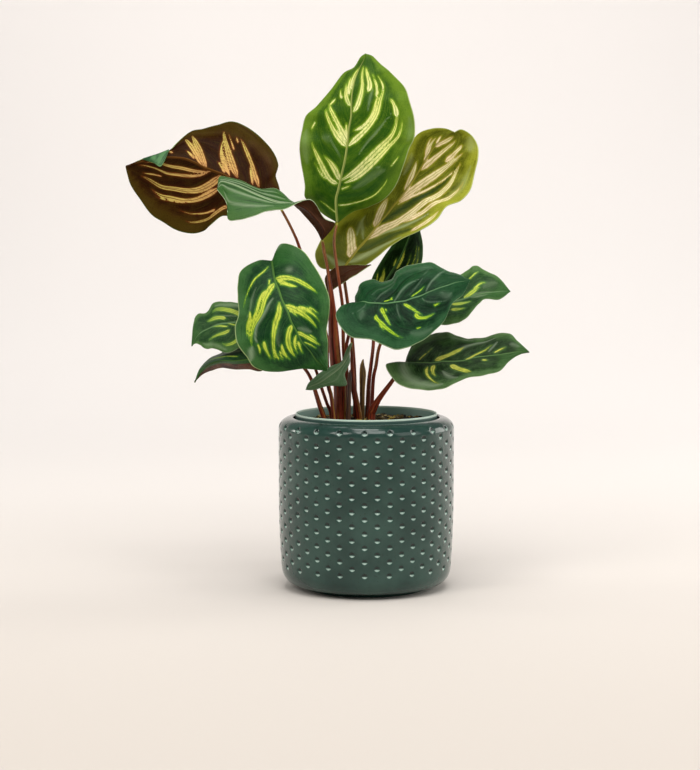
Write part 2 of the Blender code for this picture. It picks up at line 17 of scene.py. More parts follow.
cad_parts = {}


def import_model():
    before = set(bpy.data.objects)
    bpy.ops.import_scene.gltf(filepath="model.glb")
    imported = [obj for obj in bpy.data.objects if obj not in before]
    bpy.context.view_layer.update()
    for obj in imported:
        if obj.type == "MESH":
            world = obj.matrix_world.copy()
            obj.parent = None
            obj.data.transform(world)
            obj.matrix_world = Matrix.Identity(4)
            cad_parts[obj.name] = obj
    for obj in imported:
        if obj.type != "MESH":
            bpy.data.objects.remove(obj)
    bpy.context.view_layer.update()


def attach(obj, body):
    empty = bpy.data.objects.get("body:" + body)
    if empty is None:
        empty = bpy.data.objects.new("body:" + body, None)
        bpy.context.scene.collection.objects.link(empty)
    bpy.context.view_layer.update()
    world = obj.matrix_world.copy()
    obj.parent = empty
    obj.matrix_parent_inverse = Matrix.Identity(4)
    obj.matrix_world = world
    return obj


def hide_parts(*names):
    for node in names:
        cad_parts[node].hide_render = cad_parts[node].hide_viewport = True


logging.basicConfig(level=logging.INFO, format="%(message)s")
LOG = logging.getLogger("calathea")

# A millimetre in metres, a centimetre in millimetres, and how near vertices merge in millimetres
MM = 0.001
CM = 10.0
MERGE = 0.01
FULL_TURN = 2.0 * math.pi
Colour = tuple[float, float, float]
Point = tuple[float, float, float]
Row = tuple[Point, Point, Point]
StemPoint = tuple[float, float, float, float]
Streak = tuple[float, float, float, float, float, float, float, int]
Crest = tuple[float, float, float, float, float, float, float, float]


class Slot(str, Enum):
    """The record's material slots."""

    GLAZE = "teal_glaze"
    LINER = "liner_plastic"
    SOIL = "potting_soil"
    BRIGHT = "bright_leaf"
    GREEN = "green_leaf"
    DARK = "dark_leaf"
    OLIVE = "olive_leaf"
    MAROON = "maroon_leaf"
    STEM = "stem_red"
    SHOOT = "shoot_olive"


def srgb(red: float, green: float, blue: float) -> Colour:
    """Turn a display colour of 0 to 255 into the linear values that shaders take.

    Args:
        red, green, blue: the display colour.

    Returns:
        The linear colour.
    """
    def linear(value: float) -> float:
        """Return one channel's linear value."""
        part = value / 255.0
        return part / 12.92 if part <= 0.04045 else ((part + 0.055) / 1.055) ** 2.4

    return linear(red), linear(green), linear(blue)


# Shader graphs


class Value:
    """A node's output in a material, with arithmetic that adds Math nodes."""

    def __init__(self, graph: "Graph", socket: bpy.types.NodeSocket) -> None:
        """Wrap a socket."""
        self.graph = graph
        self.socket = socket

    def __add__(self, other: "Value | float") -> "Value":
        """Add."""
        return self.graph.math("ADD", self, other)

    def __radd__(self, other: float) -> "Value":
        """Add to a number."""
        return self.graph.math("ADD", other, self)

    def __sub__(self, other: "Value | float") -> "Value":
        """Subtract."""
        return self.graph.math("SUBTRACT", self, other)

    def __rsub__(self, other: float) -> "Value":
        """Subtract from a number."""
        return self.graph.math("SUBTRACT", other, self)

    def __mul__(self, other: "Value | float") -> "Value":
        """Multiply."""
        return self.graph.math("MULTIPLY", self, other)

    def __rmul__(self, other: float) -> "Value":
        """Multiply a number."""
        return self.graph.math("MULTIPLY", other, self)

    def __truediv__(self, other: "Value | float") -> "Value":
        """Divide."""
        return self.graph.math("DIVIDE", self, other)

    def __pow__(self, other: float) -> "Value":
        """Raise to a power."""
        return self.graph.math("POWER", self, other)

    def __lt__(self, other: float) -> "Value":
        """Return 1 where this is below a number."""
        return self.graph.math("LESS_THAN", self, other)

    def __neg__(self) -> "Value":
        """Change the sign."""
        return self.graph.math("MULTIPLY", self, -1.0)

    def __abs__(self) -> "Value":
        """Return the size without the sign."""
        return self.graph.math("ABSOLUTE", self)

    def floor(self) -> "Value":
        """Return the whole number below."""
        return self.graph.math("FLOOR", self)

    def sin(self) -> "Value":
        """Return the sine."""
        return self.graph.math("SINE", self)

    def least(self, other: float) -> "Value":
        """Return this, or the number where that is smaller."""
        return self.graph.math("MINIMUM", self, other)

    def most(self, other: float) -> "Value":
        """Return this, or the number where that is larger."""
        return self.graph.math("MAXIMUM", self, other)

    def ramp(self, low: "Value | float", high: "Value | float") -> "Value":
        """Rise smoothly from 0 at low to 1 at high; high may be the lower number."""
        return self.graph.put("ShaderNodeMapRange", {"interpolation_type": "SMOOTHSTEP"},
                              {"Value": self, "From Min": low, "From Max": high})


class Graph:
    """A new material and the nodes that are put into it."""

    def __init__(self, name: str) -> None:
        """Start an empty material.

        Args:
            name: its name.
        """
        self.material = bpy.data.materials.new(name)
        self.material.use_nodes = True
        self.tree = self.material.node_tree
        self.tree.nodes.clear()

    def feed(self, socket: bpy.types.NodeSocket, value: "Value | tuple | float") -> None:
        """Link a Value to a socket, or set a constant on it.

        Args:
            socket: the input.
            value: what it gets; three numbers are a colour where the input is one.
        """
        if isinstance(value, Value):
            self.tree.links.new(value.socket, socket)
        elif isinstance(value, tuple) and len(value) == 3 and socket.type == "RGBA":
            socket.default_value = (*value, 1.0)
        else:
            socket.default_value = value

    def put(self, kind: str, settings: dict | None = None, inputs: dict | None = None,
            output: int | str = 0) -> Value:
        """Add a node.

        Args:
            kind: the node's type name.
            settings: the node's properties.
            inputs: input names or numbers, with values or constants.
            output: the output to return.

        Returns:
            The chosen output.
        """
        node = self.tree.nodes.new(kind)
        for key, value in (settings or {}).items():
            setattr(node, key, value)
        for key, value in (inputs or {}).items():
            self.feed(node.inputs[key], value)
        return Value(self, node.outputs[output])

    def math(self, operation: str, *operands: Value | float) -> Value:
        """Add a Math node with its operands in order."""
        return self.put("ShaderNodeMath", {"operation": operation}, dict(enumerate(operands)))

    def mix(self, factor: Value | float, first: Value | Colour, second: Value | Colour) -> Value:
        """Mix two colours."""
        return self.put("ShaderNodeMix", {"data_type": "RGBA"}, {0: factor, 6: first, 7: second}, 2)

    def join(self, x: Value, y: Value, z: Value | float) -> Value:
        """Combine three values into a vector."""
        return self.put("ShaderNodeCombineXYZ", None, {0: x, 1: y, 2: z})

    def split(self, vector: Value) -> tuple[Value, Value, Value]:
        """Return a vector's three values."""
        node = self.put("ShaderNodeSeparateXYZ", None, {0: vector}).socket.node
        return tuple(Value(self, node.outputs[index]) for index in range(3))

    def map(self, name: str) -> tuple[Value, Value]:
        """Return the two values of a UV map."""
        across, along, _ = self.split(self.put("ShaderNodeUVMap", {"uv_map": name}))
        return across, along

    def place(self) -> Value:
        """Return the point in object space."""
        return self.put("ShaderNodeTexCoord", None, None, "Object")

    def noise(self, vector: Value, scale: float, detail: float = 2.0, rough: float = 0.5) -> Value:
        """Add a noise of about 0.5 in the middle."""
        return self.put("ShaderNodeTexNoise", None, {
            "Vector": vector, "Scale": scale, "Detail": detail, "Roughness": rough})

    def chance(self, value: Value) -> Value:
        """Return a random number from 0 to 1 that depends on value only."""
        return self.put("ShaderNodeTexWhiteNoise", {"noise_dimensions": "1D"}, {"W": value})

    def bump(self, height: Value, depth: float) -> Value:
        """Turn a height of 0 to 1 into a normal, for a relief that deep."""
        return self.put("ShaderNodeBump", None, {
            "Strength": 1.0, "Distance": depth * MM, "Height": height})

    def finish(self, colour: Value, roughness: Value | float, normal: Value | None = None,
               **others: float) -> bpy.types.Material:
        """Close the material with a Principled shader.

        Args:
            colour: base colour.
            roughness: roughness.
            normal: a bump's output, if any.
            others: other inputs, with an underscore for a space.

        Returns:
            The material.
        """
        inputs = {"Base Color": colour, "Roughness": roughness}
        if normal is not None:
            inputs["Normal"] = normal
        inputs |= {name.replace("_", " "): value for name, value in others.items()}
        shader = self.put("ShaderNodeBsdfPrincipled", None, inputs)
        end = self.tree.nodes.new("ShaderNodeOutputMaterial")
        self.tree.links.new(shader.socket, end.inputs["Surface"])
        return self.material


# Leaf looks


@dataclass(frozen=True)
class FaceLook:
    """The colours of one face of a leaf, and how its streaks are drawn.

    Outline is the rim of a streak and outline_width how far it reaches. Pale is the painted sheen
    on the crests, partly over pale veins, and fold the painted shade in the folds. Low is how dark
    the base is, partly its own darker colour and partly painted shadow, and ragged how torn the
    streaks' edges are. Turned_light and turned_dark are the other face's colours, where the margin
    is turned over.
    """

    ground: Colour
    blotch: Colour
    band: Colour
    band_far: Colour
    outline: Colour
    margin: Colour
    rib: Colour
    edge: Colour
    # pale: painted sheen on the fold crests, partly over pale veins
    pale: Colour = srgb(150, 172, 150)
    # fold: painted shade in the folds
    fold: Colour = srgb(4, 30, 10)
    turned_light: Colour = srgb(96, 58, 34)
    turned_dark: Colour = srgb(48, 20, 10)
    outline_width: float = 0.25
    roughness: float = 0.4
    sheen: float = 0.1
    # low: darkens the base, partly its own colour and partly painted shadow
    low: float = 0.0
    ragged: float = 1.0


CREAM = srgb(236, 236, 168)
LIME = srgb(202, 212, 84)

BRIGHT_UPPER = FaceLook(
    ground=srgb(82, 116, 16), blotch=srgb(28, 72, 4), band=CREAM, band_far=srgb(222, 226, 112),
    outline=srgb(126, 164, 34), margin=srgb(104, 136, 34), rib=srgb(172, 180, 98),
    edge=srgb(160, 176, 110), pale=srgb(150, 172, 128), fold=srgb(14, 62, 14), low=0.3)
GREEN_UPPER = FaceLook(
    ground=srgb(36, 84, 32), blotch=srgb(1, 40, 18), band=LIME, band_far=srgb(186, 206, 58),
    outline=srgb(96, 146, 34), margin=srgb(62, 104, 54), rib=srgb(92, 136, 60),
    edge=srgb(160, 184, 120), pale=srgb(150, 172, 138))
DARK_UPPER = FaceLook(
    ground=srgb(20, 62, 32), blotch=srgb(0, 26, 12), band=srgb(184, 206, 44),
    band_far=srgb(150, 190, 44), outline=srgb(70, 122, 40), margin=srgb(50, 92, 56),
    rib=srgb(104, 146, 98), edge=srgb(140, 168, 124), pale=srgb(124, 150, 124), sheen=0.07)
DEEP_UPPER = FaceLook(
    ground=srgb(18, 44, 10), blotch=srgb(0, 8, 0), band=srgb(206, 204, 84),
    band_far=srgb(188, 196, 70), outline=srgb(80, 104, 30), margin=srgb(44, 76, 32),
    rib=srgb(76, 116, 60), edge=srgb(120, 146, 90), pale=srgb(110, 140, 96), sheen=0.05)
LOW_UPPER = FaceLook(
    ground=srgb(48, 82, 38), blotch=srgb(2, 22, 4), band=srgb(206, 206, 92),
    band_far=srgb(188, 196, 70), outline=srgb(96, 116, 42), margin=srgb(86, 118, 70),
    rib=srgb(96, 132, 76), edge=srgb(150, 172, 128), pale=srgb(158, 176, 148), sheen=0.07)
GREY_UPPER = FaceLook(
    ground=srgb(50, 90, 42), blotch=srgb(8, 46, 18), band=srgb(200, 212, 84),
    band_far=srgb(160, 188, 66), outline=srgb(96, 138, 56), margin=srgb(84, 120, 66),
    rib=srgb(110, 146, 96), edge=srgb(150, 176, 128), pale=srgb(150, 172, 136), sheen=0.09)
SHEEN_UPPER = FaceLook(
    ground=srgb(56, 98, 44), blotch=srgb(18, 56, 14), band=srgb(120, 160, 110),
    band_far=srgb(110, 150, 100), outline=srgb(70, 130, 80), margin=srgb(70, 108, 50),
    rib=srgb(160, 184, 140), edge=srgb(180, 200, 160), pale=srgb(196, 208, 178), roughness=0.36,
    sheen=0.16)
YOUNG_UPPER = FaceLook(
    ground=srgb(78, 112, 72), blotch=srgb(44, 80, 48), band=srgb(110, 140, 100),
    band_far=srgb(100, 130, 90), outline=srgb(70, 100, 70), margin=srgb(98, 128, 92),
    rib=srgb(130, 152, 112), edge=srgb(140, 166, 124), pale=srgb(150, 170, 140), roughness=0.5,
    sheen=0.2)
MAROON_UNDER = FaceLook(
    ground=srgb(60, 32, 5), blotch=srgb(32, 6, 1), band=srgb(208, 158, 98),
    band_far=srgb(196, 186, 92), outline=srgb(110, 50, 22), margin=srgb(68, 54, 10),
    rib=srgb(96, 60, 14), edge=srgb(70, 80, 30), pale=srgb(110, 84, 62), outline_width=0.12,
    roughness=0.46, sheen=0.04, ragged=0.5)
# Olive underside: its own colours, made lighter and olive in part as painted light shining through
# the blade from behind
OLIVE_UNDER = FaceLook(
    ground=srgb(110, 116, 8), blotch=srgb(68, 74, 0), band=srgb(240, 216, 178),
    band_far=srgb(232, 228, 170), outline=srgb(180, 160, 64), margin=srgb(162, 168, 50),
    rib=srgb(150, 140, 50), edge=srgb(196, 204, 120), pale=srgb(176, 190, 136),
    fold=srgb(14, 50, 4), outline_width=0.2, roughness=0.44, low=0.7)
DARK_UNDER = FaceLook(
    ground=srgb(62, 34, 14), blotch=srgb(36, 12, 4), band=srgb(120, 84, 56),
    band_far=srgb(104, 70, 40), outline=srgb(84, 34, 24), margin=srgb(70, 44, 16),
    rib=srgb(74, 40, 20), edge=srgb(90, 60, 34), pale=srgb(110, 76, 54), roughness=0.46)


@dataclass(frozen=True)
class BladeForm:
    """One leaf: its outline, its stem, its streaks and the looks of its two faces.

    A row is a point on the left margin, the midrib and the right margin. A streak is
    (across, along) at its start, middle and end, then its width and how many strands it is split
    into. Across is 0 on the midrib, -1 at the left margin and 1 at the right one, and along is 0
    at the base and 1 at the tip. A pale crest has the same first seven numbers, then its strength,
    which is below 0 for a dark fold; a crest's colour is painted sheen, partly over pale veins, a
    fold's is painted shade, and the blade is raised at a crest and sunk in a fold. Left of turned
    the leaf's margin shows its other face, and beyond pulvinus the stem takes the colour of its
    joint.
    """

    rows: tuple[Row, ...]
    tip: Point
    stem: tuple[StemPoint, ...]
    slot: Slot
    upper: FaceLook
    under: FaceLook
    streaks: tuple[Streak, ...] = ()
    pale: tuple[Crest, ...] = ()
    belly: float = 2.0
    ripple: float = 1.0
    waves: float = 5.0
    folds: float = 5.0
    valley: float = 0.24
    quilt: float = 1.2
    detail: float = 1.0
    turned: float = -1.0
    pulvinus: float = 0.95
    seed: float = 1.0


TOP = BladeForm(
    rows=(
        ((-24, 9, 292), (-23, 8, 292), (-22, 9, 292)),
        ((-34, 12, 298), (-24, 5, 302), (-11, 10, 300)),
        ((-43, 12, 306), (-24, 3, 311), (2, 9, 304)),
        ((-49, 10, 312), (-22, 1, 319), (15, 7, 311)),
        ((-49, 7, 322), (-20, -1, 328), (24, 5, 322)),
        ((-52, 6.5, 339), (-17, -3, 341), (30, 2, 338)),
        ((-53, 5.5, 352), (-15, -3.5, 354), (34, 4, 350)),
        ((-51, 6.5, 365), (-14, -4, 365), (38, 2, 359)),
        ((-48, 5, 376), (-12, -4, 376), (38, 3, 373)),
        ((-39, 7, 384), (-12, -3, 386), (34, 3, 388)),
        ((-28, 5.5, 397), (-11, -1.5, 396), (30, 5, 399)),
        ((-19, 7, 409), (-9, 1, 404), (19, 6, 410)),
        ((-10, 7, 414), (-6, 4, 412), (11, 7, 417)),
        ((-5, 8, 422), (-2, 7, 420), (5, 8, 423)),
    ),
    tip=(-1, 9, 425),
    stem=((-14.5, 5, 118, 1.7), (-16, 5, 161, 1.6), (-18, 4, 190, 1.5), (-18.5, 2, 210, 1.4),
          (-19, -2, 227, 1.3), (-23, -4, 255, 1.2), (-25.5, -2, 277, 1.1)),
    slot=Slot.BRIGHT, upper=BRIGHT_UPPER, under=OLIVE_UNDER,
    streaks=(
        (0.15, 0.105, 0.62, 0.165, 0.8, 0.3, 1.6, 1),
        (0.07, 0.215, 0.13, 0.228, 0.2, 0.245, 1.6, 1),
        (0.79, 0.345, 0.83, 0.365, 0.87, 0.39, 1.4, 1),
        (0.03, 0.272, 0.55, 0.435, 0.72, 0.6, 5.4, 2), (0.12, 0.262, 0.6, 0.4, 0.8, 0.56, 4.8, 2),
        (0.72, 0.58, 0.72, 0.62, 0.68, 0.65, 4.6, 2), (0.04, 0.425, 0.34, 0.55, 0.6, 0.72, 5.2, 2),
        (0.1, 0.5, 0.3, 0.565, 0.5, 0.7, 3.6, 1), (0.44, 0.665, 0.47, 0.72, 0.5, 0.78, 2.6, 2),
        (0.56, 0.69, 0.6, 0.73, 0.62, 0.775, 2, 1), (0.04, 0.595, 0.17, 0.69, 0.2, 0.86, 4.4, 2),
        (0.3, 0.7, 0.36, 0.76, 0.34, 0.85, 4.4, 2), (0.46, 0.72, 0.49, 0.755, 0.5, 0.79, 1.3, 1),
        (-0.03, 0.72, -0.13, 0.79, -0.05, 0.865, 3.8, 2),
        (-0.1, 0.255, -0.46, 0.325, -0.75, 0.445, 5, 2),
        (-0.04, 0.275, -0.23, 0.33, -0.47, 0.38, 5.6, 2),
        (-0.38, 0.29, -0.55, 0.315, -0.68, 0.355, 1.3, 1),
        (-0.04, 0.42, -0.3, 0.492, -0.62, 0.605, 5, 2),
        (-0.03, 0.445, -0.24, 0.525, -0.64, 0.645, 5.4, 2),
        (-0.02, 0.47, -0.05, 0.5, -0.07, 0.53, 2.8, 1),
        (-0.74, 0.535, -0.77, 0.52, -0.8, 0.5, 1.8, 1),
        (-0.54, 0.665, -0.57, 0.65, -0.61, 0.635, 2, 1),
        (-0.04, 0.63, -0.19, 0.675, -0.38, 0.74, 3.8, 2),
        (-0.33, 0.67, -0.42, 0.685, -0.52, 0.71, 2.4, 1),
        (-0.1, 0.69, -0.22, 0.735, -0.3, 0.785, 3.2, 1),
        (-0.1, 0.06, -0.35, 0.09, -0.6, 0.15, 1, 1),
    ),
    pale=(
        (0.2, 0.37, 0.42, 0.5, 0.64, 0.59, 2.2, 0.5), (0.27, 0.6, 0.33, 0.66, 0.39, 0.715, 2, 0.5),
        (-0.07, 0.36, -0.27, 0.42, -0.43, 0.475, 1, 0.55),
        (0.3, 0.24, 0.55, 0.31, 0.75, 0.33, 7, 0.28),
        (-0.35, 0.45, -0.45, 0.46, -0.55, 0.46, 6, 0.22),
        (-0.86, 0.36, -0.9, 0.44, -0.9, 0.5, 8, 0.3), (0.4, 0.2, 0.75, 0.3, 0.93, 0.45, 9, -0.5),
        (0.12, 0.34, 0.4, 0.46, 0.62, 0.6, 2.2, -0.6), (0.06, 0.16, 0.35, 0.2, 0.6, 0.25, 3, -0.5),
        (-0.1, 0.33, -0.4, 0.4, -0.7, 0.5, 2.4, -0.5), (0.3, 0.3, 0.45, 0.33, 0.6, 0.34, 1, 0.5),
        (0.92, 0.48, 0.93, 0.53, 0.92, 0.58, 6, 0.25),
    ),
    belly=3.0, ripple=1.2, waves=5, folds=5.0, valley=0.24, seed=3.0)
UPPER_LEFT = BladeForm(
    rows=(
        ((-67, 4, 304), (-68, 4, 303), (-69, 4, 302)),
        ((-69, 6, 319), (-77, 0, 309), (-83, 2, 300)),
        ((-72, 9.5, 329), (-84, -1, 313), (-92, 3, 299)),
        ((-70, 11, 338), (-90, -2, 317), (-100, 4, 297)),
        ((-75, 14, 349), (-98, -2, 322), (-109, 7, 297)),
        ((-85, 14.5, 360), (-105, -1.5, 325), (-116, 7.5, 296)),
        ((-96, 17, 368), (-112, -1, 329), (-125, 10, 289)),
        ((-107, 16.5, 372), (-120, 0, 332), (-132, 9.5, 284)),
        ((-119, 17, 369), (-128, 0, 335), (-141, 10.5, 283)),
        ((-130, 15, 366), (-136, 1, 339), (-152, 9, 286)),
        ((-140, 14.5, 364), (-144, 2, 342), (-162, 9.5, 292)),
        ((-150, 11.5, 355.5), (-154, 3, 343), (-171, 8, 298)),
        ((-156.5, 9, 349), (-163, 3.5, 343), (-180, 8.5, 310)),
        ((-165, 7.2, 346), (-173, 4, 341), (-187, 7, 321)),
        ((-177, 6, 342.5), (-182, 4.5, 338.5), (-190, 6, 331)),
    ),
    tip=(-191, 5, 336),
    stem=((-18, 9, 118, 1.6), (-22.5, 9, 161, 1.5), (-30, 8, 195, 1.4),
          (-38.5, 6, 226, 1.3), (-46.5, 6, 250, 1.2), (-53.5, 5, 273, 1.2),
          (-58, 5, 284, 1.1), (-63.5, 5, 295, 1.1)),
    slot=Slot.MAROON, upper=GREEN_UPPER, under=MAROON_UNDER,
    streaks=(
        (-0.2, 0.195, -0.5, 0.31, -0.75, 0.4, 4.4, 2),
        (-0.13, 0.225, -0.26, 0.26, -0.4, 0.3, 2.6, 1),
        (-0.66, 0.405, -0.7, 0.415, -0.75, 0.425, 1.8, 1),
        (-0.05, 0.375, -0.3, 0.455, -0.62, 0.48, 4.6, 1),
        (-0.1, 0.33, -0.4, 0.43, -0.8, 0.49, 6.6, 3),
        (-0.5, 0.41, -0.63, 0.44, -0.76, 0.465, 1.8, 1),
        (-0.04, 0.41, -0.12, 0.44, -0.2, 0.47, 2.4, 1),
        (-0.04, 0.555, -0.38, 0.635, -0.8, 0.69, 5, 2),
        (-0.02, 0.53, -0.42, 0.6, -0.82, 0.655, 5.8, 3),
        (-0.1, 0.61, -0.2, 0.64, -0.3, 0.668, 2.6, 1),
        (-0.35, 0.745, -0.45, 0.76, -0.57, 0.775, 2.2, 1),
        (0.04, 0.43, 0.38, 0.575, 0.54, 0.84, 6.6, 3),
        (0.25, 0.42, 0.54, 0.585, 0.65, 0.77, 5.4, 2), (0.55, 0.58, 0.64, 0.65, 0.7, 0.745, 2, 1),
        (0.35, 0.755, 0.39, 0.8, 0.45, 0.85, 1.8, 1), (0.02, 0.5, 0.14, 0.68, 0.06, 0.88, 3.2, 2),
        (0.06, 0.515, 0.26, 0.7, 0.16, 0.905, 3, 1), (0.7, 0.3, 0.78, 0.42, 0.84, 0.58, 3.4, 2),
        (0.66, 0.4, 0.68, 0.48, 0.72, 0.61, 2.2, 1),
    ),
    pale=(
        (-0.8, 0.24, -0.82, 0.3, -0.8, 0.36, 9, 0.2),
        ),
    belly=3.0, ripple=1.2, waves=5, folds=5.5, valley=0.34, seed=5.0)
TWISTED = BladeForm(
    rows=(
        ((-34, -8, 279), (-35, -8, 279), (-36, -8, 279)),
        ((-25, -10, 291), (-34, -14, 287), (-40, -12, 287)),
        ((-33, -16, 296), (-43, -22, 299), (-49, -16, 298)),
        ((-44, -30, 310), (-51, -28, 305), (-55, -14, 304)),
        ((-62, -42, 304), (-60, -30, 307), (-60, -14, 310)),
        ((-75, -48, 302), (-70, -33, 308), (-70, -20, 318)),
        ((-86, -50, 298), (-83, -36, 313), (-83, -26, 319)),
        ((-98, -50, 295), (-96, -38, 319), (-95, -30, 324)),
        ((-107, -48, 295), (-106, -40, 323), (-106, -32, 327)),
        ((-108, -46, 308), (-113, -42, 324), (-114, -36, 328)),
    ),
    tip=(-115, -48, 318),
    stem=((-21, 0, 118, 4.6), (-21, 0, 136, 4.9), (-21, 0, 162, 5), (-24, -1, 180, 4.7),
          (-26, -4, 207, 4), (-27.5, -7, 232, 2.3), (-30.5, -8, 255, 1.3),
          (-33.5, -8, 270, 1.3)),
    slot=Slot.GREEN, upper=SHEEN_UPPER, under=DARK_UNDER,
    pale=(
        (0.02, 0.12, 0.04, 0.5, 0.02, 0.95, 2.2, 0.75),
        (-0.25, 0.35, -0.2, 0.65, -0.15, 0.95, 2, 0.45),
        (0.3, 0.45, 0.3, 0.7, 0.25, 0.9, 2.5, 0.4), (0.6, 0.5, 0.6, 0.7, 0.5, 0.85, 3, 0.3),
        (-0.6, 0.5, -0.55, 0.7, -0.5, 0.9, 2.5, 0.3),
        (0.14, 0.4, 0.15, 0.65, 0.12, 0.92, 1.4, -0.7),
        (-0.12, 0.35, -0.1, 0.6, -0.08, 0.9, 1.2, -0.7),
        (0.45, 0.4, 0.45, 0.6, 0.4, 0.85, 1.6, -0.6),
        (-0.42, 0.4, -0.38, 0.6, -0.34, 0.9, 1.4, -0.6), (0.8, 0.45, 0.8, 0.65, 0.7, 0.9, 2, -0.5),
    ),
    belly=1.5, ripple=0.6, waves=4, folds=5.0, quilt=0.3, detail=0.6,
    seed=7.0)
UPPER_RIGHT = BladeForm(
    rows=(
        ((-17, 14, 254), (-19, 14, 254), (-20, 14, 254)),
        ((-2, 10, 257), (-14, 16, 261), (-36, 18, 255)),
        ((9, 12, 264), (-7, 18, 270), (-41, 22, 264)),
        ((20, 14, 273), (1, 21, 279), (-39, 25, 273)),
        ((31, 16, 280), (9, 24, 289), (-33, 28, 283)),
        ((46, 17, 286), (15, 27, 296), (-24, 31, 292)),
        ((57, 22, 294), (22, 30, 305), (-11, 34, 304)),
        ((64, 23.5, 304), (29, 32, 313), (2, 37, 314)),
        ((77, 26.5, 309), (35, 34, 321), (14, 39, 322)),
        ((84, 26.5, 318), (41, 35.5, 330), (23, 40, 332)),
        ((87, 28.5, 330), (46, 36.5, 338), (31, 41, 343)),
        ((90, 28.5, 342), (51, 37.5, 346), (36, 41, 354)),
        ((90, 30, 352), (56, 37.5, 353), (42, 41, 363)),
        ((85, 30.5, 361), (62, 36.5, 358), (53, 40, 367)),
        ((77, 31, 366), (67, 35, 362), (64, 38, 367)),
    ),
    tip=(71, 33, 364),
    stem=((-9, 12, 118, 1.7), (-9, 12, 160, 1.6), (-10.5, 13, 190, 1.5), (-13, 14, 214, 1.4),
          (-17, 14, 242, 1.3)),
    slot=Slot.OLIVE, upper=BRIGHT_UPPER, under=OLIVE_UNDER,
    streaks=(
        (0.02, 0.1, 0.3, 0.19, 0.58, 0.29, 10.5, 3), (0.04, 0.27, 0.18, 0.36, 0.36, 0.45, 8, 3),
        (0.02, 0.505, 0.17, 0.58, 0.38, 0.67, 6.4, 2), (0.02, 0.69, 0.13, 0.755, 0.3, 0.84, 4, 2),
        (0.1, 0.72, 0.27, 0.77, 0.44, 0.825, 3.4, 1),
        (0.04, 0.82, 0.14, 0.845, 0.26, 0.875, 2.6, 1),
        (-0.03, 0.205, -0.42, 0.4, -0.66, 0.7, 7, 3),
        (-0.44, 0.35, -0.68, 0.46, -0.82, 0.62, 4.6, 2),
        (-0.84, 0.31, -0.86, 0.37, -0.91, 0.44, 4.2, 2),
        (-0.03, 0.44, -0.24, 0.6, -0.66, 0.76, 7, 3),
        (-0.06, 0.42, -0.35, 0.56, -0.68, 0.7, 2.4, 1),
        (-0.03, 0.64, -0.18, 0.74, -0.42, 0.84, 5, 2),
        (-0.38, 0.71, -0.5, 0.76, -0.62, 0.81, 4.2, 2),
        (-0.02, 0.8, -0.13, 0.84, -0.32, 0.885, 4.4, 2),
    ),
    pale=(
        (-0.06, 0.2, -0.4, 0.28, -0.75, 0.42, 3.4, 0.8),
        (-0.06, 0.06, -0.5, 0.13, -0.9, 0.26, 5, 0.85),
        (-0.1, 0.13, -0.45, 0.2, -0.8, 0.33, 6, -0.9),
        (-0.04, 0.3, -0.28, 0.46, -0.6, 0.68, 6, -0.9), (0.1, 0.05, 0.4, 0.07, 0.75, 0.14, 6, 0.6),
        (0.08, 0.2, 0.3, 0.27, 0.5, 0.35, 3, 0.5), (0.3, 0.23, 0.42, 0.3, 0.5, 0.36, 3, 0.5),
        (-0.1, 0.5, -0.3, 0.62, -0.6, 0.73, 1.6, 0.5),
        (-0.8, 0.78, -0.86, 0.82, -0.9, 0.86, 8, 0.4), (-0.7, 0.5, -0.82, 0.6, -0.88, 0.7, 5, 0.4),
        (0.6, 0.6, 0.7, 0.66, 0.8, 0.7, 5, 0.3),
    ),
    belly=3.0, ripple=1.2, waves=5, folds=4.5, valley=0.28, seed=9.0)
